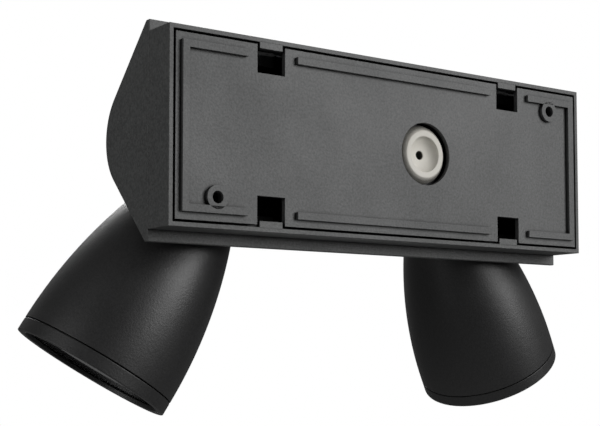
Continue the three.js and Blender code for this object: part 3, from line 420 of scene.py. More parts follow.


# Painted shade: how far the occlusion mask reaches, and how dark it paints the corners.
SHADE_REACH = 3 * MM
PAINTED_SHADE_TONE = 0.12
SPECKLE_SHARE, CLOUD_SHARE = 0.82, 0.18
DUST_COLOUR = (0.30, 0.29, 0.27)
DUST_DULLNESS = 0.3
COAT_SHINE = 0.5


def powder_coat(name, dark, light, grain, depth, roughness, dusting):
    """Powder coat between two tones, with grains of a scale and depth, and a roughness range."""
    skin, tree, shader, place = new_skin(name)
    shader.inputs["Specular IOR Level"].default_value = COAT_SHINE
    coat = use_group(tree, grain_tree, place, Scale=grain, Wave=0.5)
    mottle = sum_up(tree, "ADD", sum_up(tree, "MULTIPLY", coat["Speckle"], SPECKLE_SHARE),
                    sum_up(tree, "MULTIPLY", coat["Cloud"], CLOUD_SHARE))
    colour = blend_colours(tree, mottle, dark, light)
    # Painted shade in corners and at the feet of raised bands.
    unshaded = use_group(tree, painted_shade_tree, place, Reach=SHADE_REACH)["Unoccluded"]
    colour = blend_colours(tree, unshaded, tuple(PAINTED_SHADE_TONE * tone for tone in dark), colour)
    dust = use_group(tree, dust_tree, place, Amount=dusting)["Dust"]
    colour = blend_colours(tree, dust, colour, DUST_COLOUR)
    tree.links.new(colour, shader.inputs["Base Color"])
    dull = spread(tree, coat["Cloud"], 0, 1, *roughness)
    dusty = sum_up(tree, "MULTIPLY", dust, DUST_DULLNESS)
    tree.links.new(sum_up(tree, "ADD", dull, dusty), shader.inputs["Roughness"])
    raise_bumps(tree, shader, coat["Height"], depth)
    return skin


case_coat = powder_coat("case_coat", (0.026, 0.027, 0.027), (0.076, 0.078, 0.077), 800.0,
                        0.15 * MM, (0.46, 0.58), 0.06)

inner_x, inner_z = end_x - WALL, top_z - WALL
ledge_front = parting_y + LEDGE_FROM_FRONT
frame_shells = [soften(ring_casting(end_x, top_z, WALL, rear_y, parting_y), FRAME_EDGE)]
frame_shells.append(soften(ring_casting(inner_x + SINK_IN, inner_z + SINK_IN, LEDGE_WIDTH + SINK_IN,
                                        ledge_front + LEDGE_THICKNESS, ledge_front), FRAME_EDGE))
for side_x in (-1, 1):
    for side_z in (-1, 1):
        reach = sorted((side_z * (top_z - TAB_REACH), side_z * (inner_z + SINK_IN)))
        middle = side_x * WINDOW_X
        tab = block((middle - TAB_WIDTH / 2, rear_y - TAB_THICKNESS, reach[0]),
                    (middle + TAB_WIDTH / 2, rear_y, reach[1]))
        frame_shells.append(soften(tab, FRAME_EDGE))

# The case screws stand in the pillars, so they give the pillars their places.
TOWARDS_WALL = Matrix.Rotation(math.radians(-90), 4, "X")
case_screws = [f"case_screw_{number}" for number in range(1, 5)]


def middle_of(node):
    low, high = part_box(node)
    return (low + high) / 2


for node in case_screws:
    spot = middle_of(node)
    place = Matrix.Translation((spot.x, parting_y, spot.z)) @ TOWARDS_WALL
    pillar = hollow_bar(PILLAR_RADIUS, PILLAR_BORE, 0, PILLAR_LENGTH, place, PILLAR_STEPS)
    frame_shells.append(soften(pillar, FRAME_EDGE / 2))
finished(gather(*frame_shells), "frame_casting", "housing", case_coat, "powder_coat", "rear_frame")

# -------------------------------------------------------------------------- housing gasket
# Moulded rubber cord, square in section, squeezed between the frame's ledge and the housing.
# It keeps rain out, and is out of sight once the housing is on.

RUBBER_SHINE = 0.35
RUBBER_GRAIN = 0.02 * MM


def rubber(name, dark, light, roughness, shaded=0.5):
    """Moulded rubber: matt, faintly mottled, with a fine moulded grain and painted shade in its hollows."""
    skin, tree, shader, place = new_skin(name)
    shader.inputs["Specular IOR Level"].default_value = RUBBER_SHINE
    mould = use_group(tree, grain_tree, place, Scale=700.0, Wave=0.8)
    colour = blend_colours(tree, mould["Cloud"], dark, light)
    # Painted shade in the hollows, down to a share of the dark tone.
    unshaded = use_group(tree, painted_shade_tree, place, Reach=2 * SHADE_REACH)["Unoccluded"]
    colour = blend_colours(tree, unshaded, tuple(shaded * tone for tone in dark), colour)
    tree.links.new(colour, shader.inputs["Base Color"])
    tree.links.new(spread(tree, mould["Speckle"], 0, 1, *roughness), shader.inputs["Roughness"])
    raise_bumps(tree, shader, mould["Height"], RUBBER_GRAIN)
    return skin


def dress(node, skin):
    """Gives a CAD node that stays in view its finish."""
    for held in frame["nodes"][node].material_slots:
        held.material = skin


black_rubber = rubber("black_rubber", (0.010, 0.010, 0.010), (0.020, 0.020, 0.021), (0.62, 0.8))
dress("housing_gasket", black_rubber)

# --------------------------------------------------------------------------- front housing
# Die-cast cover with a flange behind, a short flat lip, two slopes at 45 degrees and a round
# nose. Its wall is even, its four bosses take the case screws, and its lower slope carries
# the swivels. It has the same powder coat as the frame.

LIP = 3.2 * MM
NOSE_RADIUS = 31 * MM
HOUSING_WALL = 2.2 * MM
BOLT_HOLE = 6 * MM
BOSS_LENGTH = 12 * MM
BORE_STEPS = 48
HOUSING_EDGE = 0.5 * MM
NOSE_STEPS = 40

housing_low, housing_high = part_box("front_housing")
lip_z, flange_y, nose_tip = housing_high.z, housing_high.y, housing_low.y
lip_y = flange_y - LIP
nose_y = nose_tip + NOSE_RADIUS
slope_end = (nose_y - NOSE_RADIUS * math.sqrt(0.5), NOSE_RADIUS * math.sqrt(0.5))

joints = {joint["name"]: joint for joint in frame["joints"]}
SIDES = {"left": -1, "right": 1}


def swivel_place(side):
    """A swivel's place on the slope: Z runs out along its axis, X lies across the head."""
    spot = Matrix.Translation(joints[f"swivel_{side}"]["pos_m"])
    lean = Matrix.Rotation(math.radians(135), 4, "X")
    return spot @ lean @ Matrix.Rotation(math.radians(45) * SIDES[side], 4, "Z")


def rear_faces(bm):
    """The faces that look back at the wall."""
    return [face for face in bm.faces if face.normal.y > 0.99]


cover = bmesh.new()
start = cover.verts.new((-end_x, flange_y, lip_z))
lip_top = cover.verts.new((-end_x, lip_y, lip_z))
nose_start = cover.verts.new((-end_x, *slope_end))
cover.edges.new((start, lip_top))
cover.edges.new((lip_top, nose_start))
arc = bmesh.ops.spin(cover, geom=[nose_start], cent=(0, nose_y, 0), axis=(1, 0, 0), dvec=(0, 0, 0),
                     angle=math.radians(90), steps=NOSE_STEPS)["geom_last"]
nose_end = next(part for part in arc if isinstance(part, bmesh.types.BMVert))
lip_bottom = cover.verts.new((-end_x, lip_y, -lip_z))
finish_point = cover.verts.new((-end_x, flange_y, -lip_z))
cover.edges.new((nose_end, lip_bottom))
cover.edges.new((lip_bottom, finish_point))
cover.edges.new((finish_point, start))
bmesh.ops.edgeloop_fill(cover, edges=cover.edges[:])
drawn = bmesh.ops.extrude_face_region(cover, geom=cover.faces[:])["geom"]
bmesh.ops.translate(cover, verts=[part for part in drawn if isinstance(part, bmesh.types.BMVert)],
                    vec=(2 * end_x, 0, 0))
bmesh.ops.recalc_face_normals(cover, faces=cover.faces)

mouth_x, mouth_z = inner_x - LEDGE_WIDTH, inner_z - LEDGE_WIDTH
for level, across in ((-mouth_x, "x"), (mouth_x, "x"), (-mouth_z, "z"), (mouth_z, "z")):
    normal = (1, 0, 0) if across == "x" else (0, 0, 1)
    skin_faces = rear_faces(cover)
    skin_edges = list({e for f in skin_faces for e in f.edges})
    skin_verts = list({v for f in skin_faces for v in f.verts})
    bmesh.ops.bisect_plane(cover, geom=skin_faces + skin_edges + skin_verts,
                           plane_co=Vector(normal) * level, plane_no=normal)
opening = []
for face in rear_faces(cover):
    spot = face.calc_center_median()
    if abs(spot.x) < mouth_x and abs(spot.z) < mouth_z:
        opening.append(face)
bmesh.ops.delete(cover, geom=opening, context="FACES")

slope = next(f for f in cover.faces if f.normal.dot(Vector((0, -1, -1)).normalized()) > 0.999)
slope_border = list(slope.edges)
slope_normal = slope.normal.copy()
bmesh.ops.delete(cover, geom=[slope], context="FACES_ONLY")
bores = []
for side in SIDES:
    round_verts = bmesh.ops.create_circle(cover, segments=BORE_STEPS, radius=BOLT_HOLE,
                                          matrix=swivel_place(side))["verts"]
    bores += list({e for v in round_verts for e in v.link_edges})
bmesh.ops.triangle_fill(cover, edges=slope_border + bores, use_beauty=True, normal=slope_normal)
bmesh.ops.recalc_face_normals(cover, faces=cover.faces)
bmesh.ops.solidify(cover, geom=cover.faces[:], thickness=HOUSING_WALL)
bmesh.ops.recalc_face_normals(cover, faces=cover.faces)
soften(cover, HOUSING_EDGE, 3, 35)

cover_shells = [cover]
for node in case_screws:
    spot = middle_of(node)
    place = Matrix.Translation((spot.x, flange_y, spot.z)) @ TOWARDS_WALL
    cover_shells.append(hollow_bar(PILLAR_RADIUS, PILLAR_BORE, -BOSS_LENGTH, 0, place, PILLAR_STEPS))
finished(gather(*cover_shells), "housing_casting", "housing", case_coat, "powder_coat", "front_housing")

# ------------------------------------------------------------------------------ case screws
# Socket-head steel screws, zinc plated, that clamp the housing to the frame from behind. Their
# zinc is painted near black, as painted shade where they sit inside the case.

SPANGLE_TONE = 0.72
ZINC_GRAIN = 0.01 * MM


def zinc(name, bright):
    """Zinc plate: a metal of a tone, with cloudy spangles and an uneven shine."""
    skin, tree, shader, place = new_skin(name, metallic=1.0)
    plate = use_group(tree, grain_tree, place, Scale=500.0, Wave=0.6)
    dark = tuple(SPANGLE_TONE * tone for tone in bright)
    tree.links.new(blend_colours(tree, plate["Cloud"], dark, bright), shader.inputs["Base Color"])
    tree.links.new(spread(tree, plate["Speckle"], 0, 1, 0.26, 0.44), shader.inputs["Roughness"])
    raise_bumps(tree, shader, plate["Height"], ZINC_GRAIN)
    return skin


# Zinc painted near black: painted shade on the screws, washers and nuts inside the case.
shade_dark_zinc_plate = zinc("shade_dark_zinc_plate", (0.10, 0.10, 0.105))
for node in case_screws + [f"tray_screw_{number}" for number in range(1, 5)]:
    dress(node, shade_dark_zinc_plate)

# ---------------------------------------------------------------------- tray and its boards
# Folded zinc sheet on the ledge, painted near black as painted shade in the gap behind the grommet. It
# carries the mains supply, the control board and a nylon terminal block, and a black lead runs from the
# control board to each swivel.

TRACK_SCALE = 160.0
TRACK_GAP = 0.035
TRACK_HEIGHT = 0.03 * MM

# The tray's zinc is painted near black: painted shade behind the grommet and in the windows.
dress("electronics_tray", zinc("shade_dark_zinc_sheet", (0.045, 0.045, 0.047)))


def circuit_board(name, mask, copper):
    """Solder mask over copper: lighter tracks in a fine rectangular pattern under the lacquer."""
    skin, tree, shader, place = new_skin(name, roughness=0.35)
    tracks = tree.nodes.new("ShaderNodeTexBrick")
    tracks.inputs["Scale"].default_value = TRACK_SCALE
    tracks.inputs["Mortar Size"].default_value = TRACK_GAP
    tree.links.new(place, tracks.inputs["Vector"])
    layer = use_group(tree, grain_tree, place, Scale=300.0, Wave=0.4)
    colour = blend_colours(tree, tracks.outputs["Fac"], mask, copper)
    tree.links.new(blend_colours(tree, layer["Cloud"], colour, mask), shader.inputs["Base Color"])
    tree.links.new(spread(tree, layer["Speckle"], 0, 1, 0.28, 0.45), shader.inputs["Roughness"])
    raise_bumps(tree, shader, tracks.outputs["Fac"], TRACK_HEIGHT, 0.5)
    return skin


green_board = circuit_board("green_board", (0.006, 0.045, 0.022), (0.03, 0.13, 0.06))
for node in ("power_board", "control_board", "sensor_board_left", "sensor_board_right"):
    dress(node, green_board)
nylon = rubber("nylon", (0.52, 0.51, 0.48), (0.62, 0.61, 0.58), (0.38, 0.5))
dress("terminal_block", nylon)
for side in SIDES:
    dress(f"housing_lead_{side}", black_rubber)
    dress(f"head_lead_{side}", black_rubber)

# ------------------------------------------------------------------------------- wall plate
# Flat die-cast plate that closes the frame from behind. It has a skirt, four open windows for
# the frame's tabs, raised bands that bear on the wall, a boss for each wall screw and the hole
# for the cable grommet. It has the case's powder coat, painted a shade lighter as painted light on the face
# that looks back towards the lamps.

RIM_GAP = 1.25 * MM
PLATE_THICKNESS = 3 * MM
SKIRT = 1.6 * MM
SKIRT_DEPTH = 7 * MM
WINDOW_HALF = 8.7 * MM
WINDOW_REACH = 18.7 * MM
BAND = 3.95 * MM
BAND_INSET_Z = 7.6 * MM
BAND_INSET_X = 6.65 * MM
BAND_TO_WINDOW = 6.9 * MM
SCREW_BOSS = 6.3 * MM
SCREW_HOLE = 3.2 * MM
SCREW_FROM_END = 27.3 * MM
CABLE_HOLE = 17.9 * MM
PLATE_EDGE = 0.12 * MM

plate_x, plate_z = inner_x - RIM_GAP, inner_z - RIM_GAP
window_z = top_z - WINDOW_REACH
window_lines = sorted(side * WINDOW_X + edge * WINDOW_HALF for side in (-1, 1) for edge in (-1, 1))
band_z, band_x = top_z - BAND_INSET_Z, end_x - BAND_INSET_X
screw_x, screw_z = end_x - SCREW_FROM_END, band_z - BAND / 2 - SCREW_BOSS
wall_screws = [(screw_x, -screw_z), (-screw_x, screw_z)]
cable_x = middle_of("cable_grommet").x


def outside_windows(x, z):
    return abs(abs(x) - WINDOW_X) > WINDOW_HALF or abs(z) < window_z


def on_skirt(x, z):
    on_ring = abs(x) > plate_x - SKIRT or abs(z) > plate_z - SKIRT
    return on_ring and outside_windows(x, z)


plate_front = rear_y - PLATE_THICKNESS
holes = [(x, z, SCREW_HOLE) for x, z in wall_screws] + [(cable_x, 0, CABLE_HOLE)]
plate_shells = [soften(casting([-plate_x, *window_lines, plate_x], [-plate_z, -window_z, window_z, plate_z],
                               outside_windows, rear_y, plate_front, holes), PLATE_EDGE)]
plate_shells.append(soften(casting([-plate_x, SKIRT - plate_x, *window_lines, plate_x - SKIRT, plate_x],
                                   [-plate_z, SKIRT - plate_z, plate_z - SKIRT, plate_z], on_skirt,
                                   plate_front + SINK_IN, plate_front - SKIRT_DEPTH), PLATE_EDGE / 2))

arm_x = WINDOW_X + WINDOW_HALF + BAND_TO_WINDOW
centre_x = WINDOW_X - WINDOW_HALF - BAND_TO_WINDOW
for side in (-1, 1):
    lines = sorted((side * arm_x, side * (band_x - BAND), side * band_x))
    plate_shells.append(soften(casting(
        lines, [-band_z, BAND - band_z, band_z - BAND, band_z],
        lambda x, z: abs(x) > band_x - BAND or abs(z) > band_z - BAND, 0, rear_y - SINK_IN), PLATE_EDGE))
    levels = sorted((side * band_z, side * (band_z - BAND)))
    bar = block((-centre_x, rear_y - SINK_IN, levels[0]), (centre_x, 0, levels[1]))
    plate_shells.append(soften(bar, PLATE_EDGE))
for x, z in wall_screws:
    place = Matrix.Translation((x, 0, z)) @ TOWARDS_WALL
    boss = hollow_bar(SCREW_BOSS, SCREW_HOLE, rear_y - SINK_IN, 0, place, HOLE_STEPS)
    plate_shells.append(soften(boss, PLATE_EDGE))
# A lighter copy of the case's coat: painted light on the plate, which faces the lamps.
plate_coat = powder_coat("plate_coat", (0.030, 0.031, 0.031), (0.088, 0.090, 0.090), 800.0,
                         0.16 * MM, (0.48, 0.6), 0.03)
finished(gather(*plate_shells), "plate_casting", "housing", plate_coat, "powder_coat", "wall_plate")

# ---------------------------------------------------------------------------- cable grommet
# One soft cream moulding: a cone that rises in the plate's hole to a flat collar, a funnel
# that leads to the cable's way, and a ring that snaps behind the tray.

FLANGE_RADIUS, FLANGE_THICKNESS = 16.8 * MM, 2 * MM
FLANGE_DROP = 4.2 * MM
COLLAR, COLLAR_BORE, COLLAR_DROP = 13.4 * MM, 10.2 * MM, 0.7 * MM
FUNNEL_DEPTH = 5 * MM
CABLE_BORE = 2.5 * MM
FUNNEL_STEPS = 10
NECK = 11.5 * MM
LOCK_RING = 14.5 * MM
TRAY_SHEET = 2.1 * MM
LOCK_LENGTH = 2 * MM
GROMMET_EDGE = 0.45 * MM
GROMMET_STEPS = 72

flange_front = -FLANGE_DROP - FLANGE_THICKNESS
lock_start = flange_front - TRAY_SHEET
funnel = []
for step in range(FUNNEL_STEPS + 1):
    angle = math.radians(90) * (1 - step / FUNNEL_STEPS)
    funnel.append((CABLE_BORE + (COLLAR_BORE - CABLE_BORE) * math.cos(angle),
                   -COLLAR_DROP - FUNNEL_DEPTH * math.sin(angle)))
grommet_outline = [
    *funnel,
    (COLLAR, -COLLAR_DROP),
    (FLANGE_RADIUS, -FLANGE_DROP),
    (FLANGE_RADIUS, flange_front),
    (NECK, flange_front),
    (NECK, lock_start),
    (LOCK_RING, lock_start),
    (NECK, lock_start - LOCK_LENGTH),
    (CABLE_BORE, lock_start - LOCK_LENGTH),
]
grommet_place = Matrix.Translation((cable_x, rear_y, 0)) @ TOWARDS_WALL
grommet = soften(turned(grommet_outline, grommet_place, GROMMET_STEPS), GROMMET_EDGE, 3, 40)
# Deep painted shade in the grommet's hole, funnel and cone.
cream_rubber = rubber("cream_rubber", (0.58, 0.56, 0.50), (0.70, 0.68, 0.63), (0.5, 0.66), 0.14)
finished(grommet, "grommet_moulding", "housing", cream_rubber, "rubber_cream", "cable_grommet")

# ---------------------------------------------------------------------------- swivel joints
# Each head hangs on a hollow, flanged steel bolt, blackened, through the slope. A rubber
# friction washer outside and a zinc washer and nut inside set how stiffly it turns.

WASHER_RADIUS, WASHER_BORE = 14.5 * MM, 6 * MM
WASHER_START, WASHER_END = 0.3 * MM, 1.5 * MM
WASHER_EDGE = 0.2 * MM

black_steel, steel_tree, steel_shader, steel_place = new_skin("black_steel", metallic=0.9)
blacking = use_group(steel_tree, grain_tree, steel_place, Scale=800.0, Wave=0.4)
black_tone = blend_colours(steel_tree, blacking["Cloud"], (0.012, 0.012, 0.013), (0.03, 0.03, 0.032))
black_shine = spread(steel_tree, blacking["Speckle"], 0, 1, 0.3, 0.48)
steel_tree.links.new(black_tone, steel_shader.inputs["Base Color"])
steel_tree.links.new(black_shine, steel_shader.inputs["Roughness"])
for side in SIDES:
    dress(f"pivot_bolt_{side}", black_steel)
    dress(f"lock_washer_{side}", shade_dark_zinc_plate)
    dress(f"pivot_nut_{side}", shade_dark_zinc_plate)
    washer = hollow_bar(WASHER_RADIUS, WASHER_BORE, WASHER_START, WASHER_END, swivel_place(side), 64)
    finished(soften(washer, WASHER_EDGE), f"friction_pad_{side}", "housing", black_rubber, "rubber_black",
             f"friction_washer_{side}")

# ------------------------------------------------------------------------------- head bells
# Each head is a die-cast bell in the case's powder coat, a little smoother, and painted a deeper black as
# painted shade on heads that hang away from the lamps. Its side is one long slow curve from a wide mouth to
# a round back, flattened where it meets the swivel.

MOUTH = 45.4 * MM
BELL_LENGTH = 116 * MM
CROSSING = 65 * MM
CURVE_START = 8.6 * MM
CURVE_RADIUS = 272 * MM
SHOULDER = 7 * MM
BELL_WALL = 2.8 * MM
BELL_FRONT = 7.8 * MM
NECK_OUTER, NECK_BORE, NECK_FRONT = 43.4 * MM, 41.8 * MM, 2.9 * MM
BELL_BORE = 39.6 * MM
GLASS_MIDDLE = 4.4 * MM
CUT_BACK, SEAT_INSIDE = 2.7 * MM, 6.3 * MM
SEAT_RADIUS, SEAT_FACE = 15 * MM, 1.8 * MM
SEAT_SINK = 0.3 * MM
SEAT_EDGE = 0.15 * MM
BELL_EDGE = 0.3 * MM
SIDE_STEPS = 28
SHOULDER_STEPS = 8
BELL_STEPS = 112


def head_place(side):
    """The head's own place: Z runs out of its mouth, from where its axis meets the swivel's."""
    turn = swivel_place(side).to_3x3() @ Matrix.Rotation(math.radians(45), 3, "X")
    glass = middle_of(f"front_glass_{side}")
    origin = glass - turn @ Vector((0, 0, CROSSING - GLASS_MIDDLE))
    return Matrix.Translation(origin) @ turn.to_4x4()


def bell_radius(along):
    past = max(0, along - CURVE_START)
    return MOUTH - (CURVE_RADIUS - math.sqrt(CURVE_RADIUS ** 2 - past ** 2))


def bell_side(front, back, inset, corner, limit):
    """The side from front to back as (radius, height), with the round corner at its back."""
    straight = back - corner
    points = []
    for step in range(SIDE_STEPS + 1):
        along = front + (straight - front) * step / SIDE_STEPS
        points.append((min(limit, bell_radius(along) - inset), CROSSING - along))
    centre = bell_radius(straight) - inset - corner
    for step in range(1, SHOULDER_STEPS + 1):
        angle = math.radians(90) * step / SHOULDER_STEPS
        points.append((centre + corner * math.cos(angle), CROSSING - straight - corner * math.sin(angle)))
    return points + [(0, CROSSING - back)]


def flattened(bm, side, level, bore):
    """Cuts a bell's skin flat across its swivel's axis, with the bolt's hole in the flat."""
    place = head_place(side).inverted() @ swivel_place(side)
    axis = (place.to_3x3() @ Vector((0, 0, 1))).normalized()
    cut = bmesh.ops.bisect_plane(bm, geom=everything(bm), plane_co=place @ Vector((0, 0, level)),
                                 plane_no=axis, clear_inner=True)["geom_cut"]
    border = [part for part in cut if isinstance(part, bmesh.types.BMEdge)]
    hole = bmesh.ops.create_circle(bm, segments=BORE_STEPS, radius=bore,
                                   matrix=place @ Matrix.Translation((0, 0, level)))["verts"]
    rim = list({e for v in hole for e in v.link_edges})
    bmesh.ops.triangle_fill(bm, edges=border + rim, use_beauty=True, normal=axis)
    return bm


def bell_shell(side):
    """A bell with its inside, its neck and the bolt's bore."""
    outside = [(NECK_OUTER, CROSSING - NECK_FRONT), (NECK_OUTER, CROSSING - BELL_FRONT)]
    outside += bell_side(BELL_FRONT, BELL_LENGTH, 0, SHOULDER, MOUTH)
    inside = [(NECK_OUTER, CROSSING - NECK_FRONT), (NECK_BORE, CROSSING - NECK_FRONT),
              (NECK_BORE, CROSSING - BELL_FRONT)]
    inside += bell_side(BELL_FRONT, BELL_LENGTH - BELL_WALL, BELL_WALL, SHOULDER - BELL_WALL, BELL_BORE)
    outer_skin = flattened(turned(outside, steps=BELL_STEPS, loop=False), side, CUT_BACK, BOLT_HOLE)
    inner_skin = flattened(turned(inside, steps=BELL_STEPS, loop=False), side, SEAT_INSIDE, BOLT_HOLE)
    bell = gather(outer_skin, inner_skin)
    bmesh.ops.remove_doubles(bell, verts=bell.verts, dist=WELD)
    open_rims = [e for e in bell.edges if e.is_boundary]
    bmesh.ops.bridge_loops(bell, edges=open_rims)
    bmesh.ops.recalc_face_normals(bell, faces=bell.faces)
    soften(bell, BELL_EDGE, 2, 40)
    bmesh.ops.transform(bell, matrix=head_place(side), verts=bell.verts)
    return bell


# A darker copy of the case's coat: painted shade on the heads and bezels.
bell_coat = powder_coat("bell_coat", (0.0075, 0.0075, 0.0077), (0.018, 0.018, 0.0183), 900.0,
                        0.10 * MM, (0.40, 0.52), 0.03)
for side in SIDES:
    seat = hollow_bar(SEAT_RADIUS, BOLT_HOLE, SEAT_FACE, CUT_BACK + SEAT_SINK, swivel_place(side), 64)
    finished(gather(bell_shell(side), soften(seat, SEAT_EDGE)), f"bell_{side}", f"head_{side}", bell_coat,
             "powder_coat", f"head_shell_{side}")

# ------------------------------------------------------------------------------ bezel rings
# A turned ring that pushes over the bell's neck and holds the glass. A fine groove is left
# between it and the bell, and its face is a plain rim with both edges broken.

BEZEL_LENGTH = 7.2 * MM
BEZEL_LIP = 40.8 * MM
LIP_DEPTH = 2.6 * MM
BEZEL_BORE = 43.7 * MM
BEZEL_EDGE = 0.45 * MM

bezel_outline = [
    (BEZEL_LIP, CROSSING - LIP_DEPTH),
    (BEZEL_BORE, CROSSING - LIP_DEPTH),
    (BEZEL_BORE, CROSSING - BEZEL_LENGTH),
    (MOUTH, CROSSING - BEZEL_LENGTH),
    (MOUTH, CROSSING),
    (BEZEL_LIP, CROSSING),
]
for side in SIDES:
    bezel = soften(turned(bezel_outline, head_place(side), BELL_STEPS), BEZEL_EDGE, 3)
    finished(bezel, f"bezel_{side}", f"head_{side}", bell_coat, "powder_coat", f"bezel_ring_{side}")

# -------------------------------------------------------------------- front glass and seal
# A flat, smoke-tinted disc of toughened glass with ground edges, on a black rubber ring.
# The bezel's lip clamps both to the bell's rim.

GLASS_RADIUS = 41.5 * MM
GLASS_FRONT, GLASS_BACK = 2.9 * MM, 5.9 * MM
GLASS_EDGE = 0.3 * MM
SEAL_RADIUS, SEAL_BORE = 41.5 * MM, 39.9 * MM
SEAL_FRONT, SEAL_BACK = 6.2 * MM, 7.5 * MM
SEAL_EDGE = 0.3 * MM
SMEAR_TONE = 0.93


def glass(name, tint, clean, smeared):
    """Clear glass of a tint, with faint smears that dull it and darken it a little."""
    skin, tree, shader, place = new_skin(name)
    shader.inputs["Transmission Weight"].default_value = 1.0
    shader.inputs["IOR"].default_value = 1.5
    smears = use_group(tree, grain_tree, place, Scale=1200.0, Wave=0.2)["Cloud"]
    darker = tuple(SMEAR_TONE * tone for tone in tint)
    tree.links.new(blend_colours(tree, smears, tint, darker), shader.inputs["Base Color"])
    tree.links.new(spread(tree, smears, 0, 1, clean, smeared), shader.inputs["Roughness"])
    return skin


smoked_glass = glass("smoked_glass", (0.52, 0.53, 0.55), 0.01, 0.06)
for side in SIDES:
    disc = turned([(0, CROSSING - GLASS_BACK), (GLASS_RADIUS, CROSSING - GLASS_BACK),
                   (GLASS_RADIUS, CROSSING - GLASS_FRONT), (0, CROSSING - GLASS_FRONT)],
                  head_place(side), BELL_STEPS, loop=False)
    finished(soften(disc, GLASS_EDGE), f"glass_disc_{side}", f"head_{side}", smoked_glass, "clear_glass",
             f"front_glass_{side}")
    seal = hollow_bar(SEAL_RADIUS, SEAL_BORE, CROSSING - SEAL_BACK, CROSSING - SEAL_FRONT,
                      head_place(side), 96)
    finished(soften(seal, SEAL_EDGE, 3), f"glass_seal_{side}", f"head_{side}", black_rubber, "rubber_black",
             f"glass_gasket_{side}")

# ------------------------------------------------------------------------------ baffle rings
# A moulded black cone in four steps behind the glass, which keeps stray light off the lens.
# It slips into the bell's mouth with a small clearance.

BAFFLE_FRONT, BAFFLE_STEP = 8.1 * MM, 4 * MM
BAFFLE_OUTER = 39.3 * MM
BAFFLE_WIDE, BAFFLE_NARROW = 37.9 * MM, 33.4 * MM
BAFFLE_COUNT = 4
BAFFLE_EDGE = 0.25 * MM

moulded_black = rubber("moulded_black", (0.008, 0.008, 0.008), (0.015, 0.015, 0.016), (0.42, 0.58))
baffle_outline = [(BAFFLE_OUTER, CROSSING - BAFFLE_FRONT)]
for step in range(BAFFLE_COUNT):
    radius = BAFFLE_WIDE + (BAFFLE_NARROW - BAFFLE_WIDE) * step / (BAFFLE_COUNT - 1)
    for edge in (step, step + 1):
        baffle_outline.append((radius, CROSSING - BAFFLE_FRONT - edge * BAFFLE_STEP))
baffle_outline.append((BAFFLE_OUTER, CROSSING - BAFFLE_FRONT - BAFFLE_COUNT * BAFFLE_STEP))
for side in SIDES:
    baffle = soften(turned(baffle_outline, head_place(side), 96), BAFFLE_EDGE)
    finished(baffle, f"baffle_{side}", f"head_{side}", moulded_black, "moulded_black",
             f"baffle_ring_{side}")

# ------------------------------------------------------------------- light boards and sinks
# A ring-shaped board, black-lacquered, with eight square white emitters under clear domes. It
# is screwed flat to a finned aluminium sink that also carries the lens.

BOARD_FRONT, BOARD_THICKNESS = 24.4 * MM, 1.6 * MM
BOARD_RADIUS, BOARD_BORE = 38.6 * MM, 15 * MM
EMITTERS = 8
EMITTER_CIRCLE = 27.4 * MM
EMITTER_SIZE, EMITTER_HEIGHT = 5.2 * MM, 1.1 * MM
EMITTER_SINK = 0.2 * MM
EMITTER_EDGE = 0.3 * MM
BOARD_EDGE = 0.15 * MM
DOME_RADIUS = 2.2 * MM
DOME_GAP = 0.02 * MM
SINK_GRAIN = 0.02 * MM

aluminium, sink_tree, sink_shader, sink_place = new_skin("aluminium", metallic=1.0)
cast_marks = use_group(sink_tree, grain_tree, sink_place, Scale=600.0, Wave=0.6)
sink_tone = blend_colours(sink_tree, cast_marks["Cloud"], (0.42, 0.43, 0.44), (0.6, 0.61, 0.62))
sink_shine = spread(sink_tree, cast_marks["Speckle"], 0, 1, 0.3, 0.5)
sink_tree.links.new(sink_tone, sink_shader.inputs["Base Color"])
sink_tree.links.new(sink_shine, sink_shader.inputs["Roughness"])
raise_bumps(sink_tree, sink_shader, cast_marks["Height"], SINK_GRAIN)
black_board = circuit_board("black_board", (0.010, 0.011, 0.012), (0.035, 0.037, 0.038))
dome_glass = glass("dome_glass", (0.93, 0.92, 0.82), 0.04, 0.08)
face_height = CROSSING - BOARD_FRONT
half = EMITTER_SIZE / 2
for side in SIDES:
    dress(f"heat_sink_{side}", aluminium)
    board = soften(hollow_bar(BOARD_RADIUS, BOARD_BORE, face_height - BOARD_THICKNESS, face_height,
                              Matrix.Identity(4), 96), BOARD_EDGE)
    chips, domes = [], []
    for number in range(EMITTERS):
        place = Matrix.Rotation(math.tau * number / EMITTERS, 4, "Z") @ Matrix.Translation(
            (EMITTER_CIRCLE, 0, face_height))
        chip = soften(block((-half, -half, -EMITTER_SINK), (half, half, EMITTER_HEIGHT)), EMITTER_EDGE)
        bmesh.ops.transform(chip, matrix=place, verts=chip.verts)
        chips.append(chip)
        dome = bmesh.new()
        bmesh.ops.create_uvsphere(dome, u_segments=32, v_segments=16, radius=DOME_RADIUS)
        bmesh.ops.bisect_plane(dome, geom=everything(dome), plane_co=(0, 0, 0), plane_no=(0, 0, 1),
                               clear_inner=True)
        bmesh.ops.holes_fill(dome, edges=dome.edges, sides=0)
        seated = place @ Matrix.Translation((0, 0, EMITTER_HEIGHT + DOME_GAP))
        bmesh.ops.transform(dome, matrix=seated, verts=dome.verts)
        domes.append(dome)
    for parts, name, skin, slot in (([board], "light_board", black_board, "circuit_board"),
                                    (chips, "emitter_chips", nylon, "nylon_white"),
                                    (domes, "emitter_domes", dome_glass, "lens_glass")):
        whole = gather(*parts)
        bmesh.ops.transform(whole, matrix=head_place(side), verts=whole.verts)
        finished(whole, f"{name}_{side}", f"head_{side}", skin, slot, f"led_board_{side}")

# ------------------------------------------------------------------ lens barrels and lenses
# A moulded barrel with a hood, ridged inside against glare, and a coated front element
# that bulges a little from its seat.

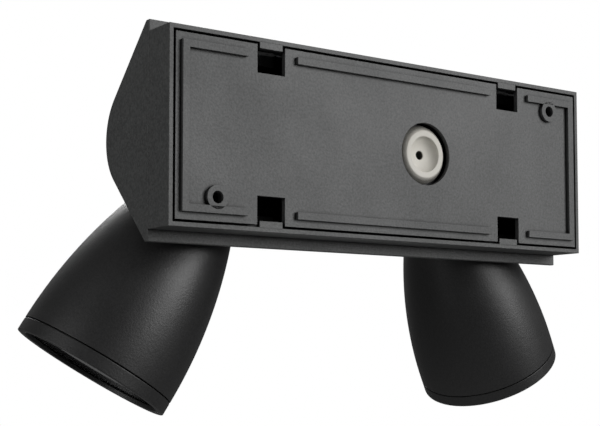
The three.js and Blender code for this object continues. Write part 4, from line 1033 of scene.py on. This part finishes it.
BARREL, BARREL_HOOD = 12.5 * MM, 14 * MM
BARREL_FRONT, BARREL_BACK = 14.4 * MM, 53.3 * MM
HOOD_LENGTH, HOOD_SLOPE = 2 * MM, 1 * MM
HOOD_MOUTH = 11 * MM
LENS_RADIUS, LENS_SEAT = 9.2 * MM, 9.5 * MM
LENS_RECESS, LENS_BULGE, LENS_EDGE = 3.5 * MM, 3 * MM, 0.8 * MM
RIDGES = 5
RIDGE_DEPTH, RIDGE_DROP = 0.25 * MM, 0.1 * MM
BARREL_EDGE = 0.12 * MM
LENS_GAP = 0.3 * MM
LENS_STEPS = 14

barrel_top = CROSSING - BARREL_FRONT
seat_height = barrel_top - LENS_RECESS - LENS_BULGE
barrel_outline = [
    (0, CROSSING - BARREL_BACK),
    (BARREL, CROSSING - BARREL_BACK),
    (BARREL, barrel_top - HOOD_LENGTH - HOOD_SLOPE),
    (BARREL_HOOD, barrel_top - HOOD_LENGTH),
    (BARREL_HOOD, barrel_top),
    (HOOD_MOUTH, barrel_top),
]
for ridge in range(RIDGES):
    near, far = ridge / RIDGES, (ridge + 0.5) / RIDGES
    for share, step_in in ((near, RIDGE_DEPTH), (far, 0)):
        radius = HOOD_MOUTH + (LENS_SEAT - HOOD_MOUTH) * share
        barrel_outline.append((radius - step_in, barrel_top - LENS_RECESS * share - RIDGE_DROP))
barrel_outline += [(LENS_SEAT, barrel_top - LENS_RECESS), (LENS_SEAT, seat_height), (0, seat_height)]

lens_base = seat_height + LENS_GAP
lens_outline = [(0, lens_base), (LENS_RADIUS, lens_base)]
for step in range(LENS_STEPS):
    angle = math.radians(90) * step / LENS_STEPS
    rise = LENS_EDGE + (LENS_BULGE - LENS_EDGE) * math.sin(angle)
    lens_outline.append((LENS_RADIUS * math.cos(angle), lens_base + rise))
lens_outline.append((0, lens_base + LENS_BULGE))
coated_glass = glass("coated_glass", (0.50, 0.53, 0.78), 0.0, 0.03)
for side in SIDES:
    barrel = soften(turned(barrel_outline, head_place(side), 72, loop=False), BARREL_EDGE, 1, 50)
    finished(barrel, f"barrel_{side}", f"head_{side}", moulded_black, "moulded_black",
             f"lens_barrel_{side}")
    element = turned(lens_outline, head_place(side), 72, loop=False)
    finished(element, f"front_element_{side}", f"head_{side}", coated_glass, "lens_glass",
             f"front_lens_{side}")
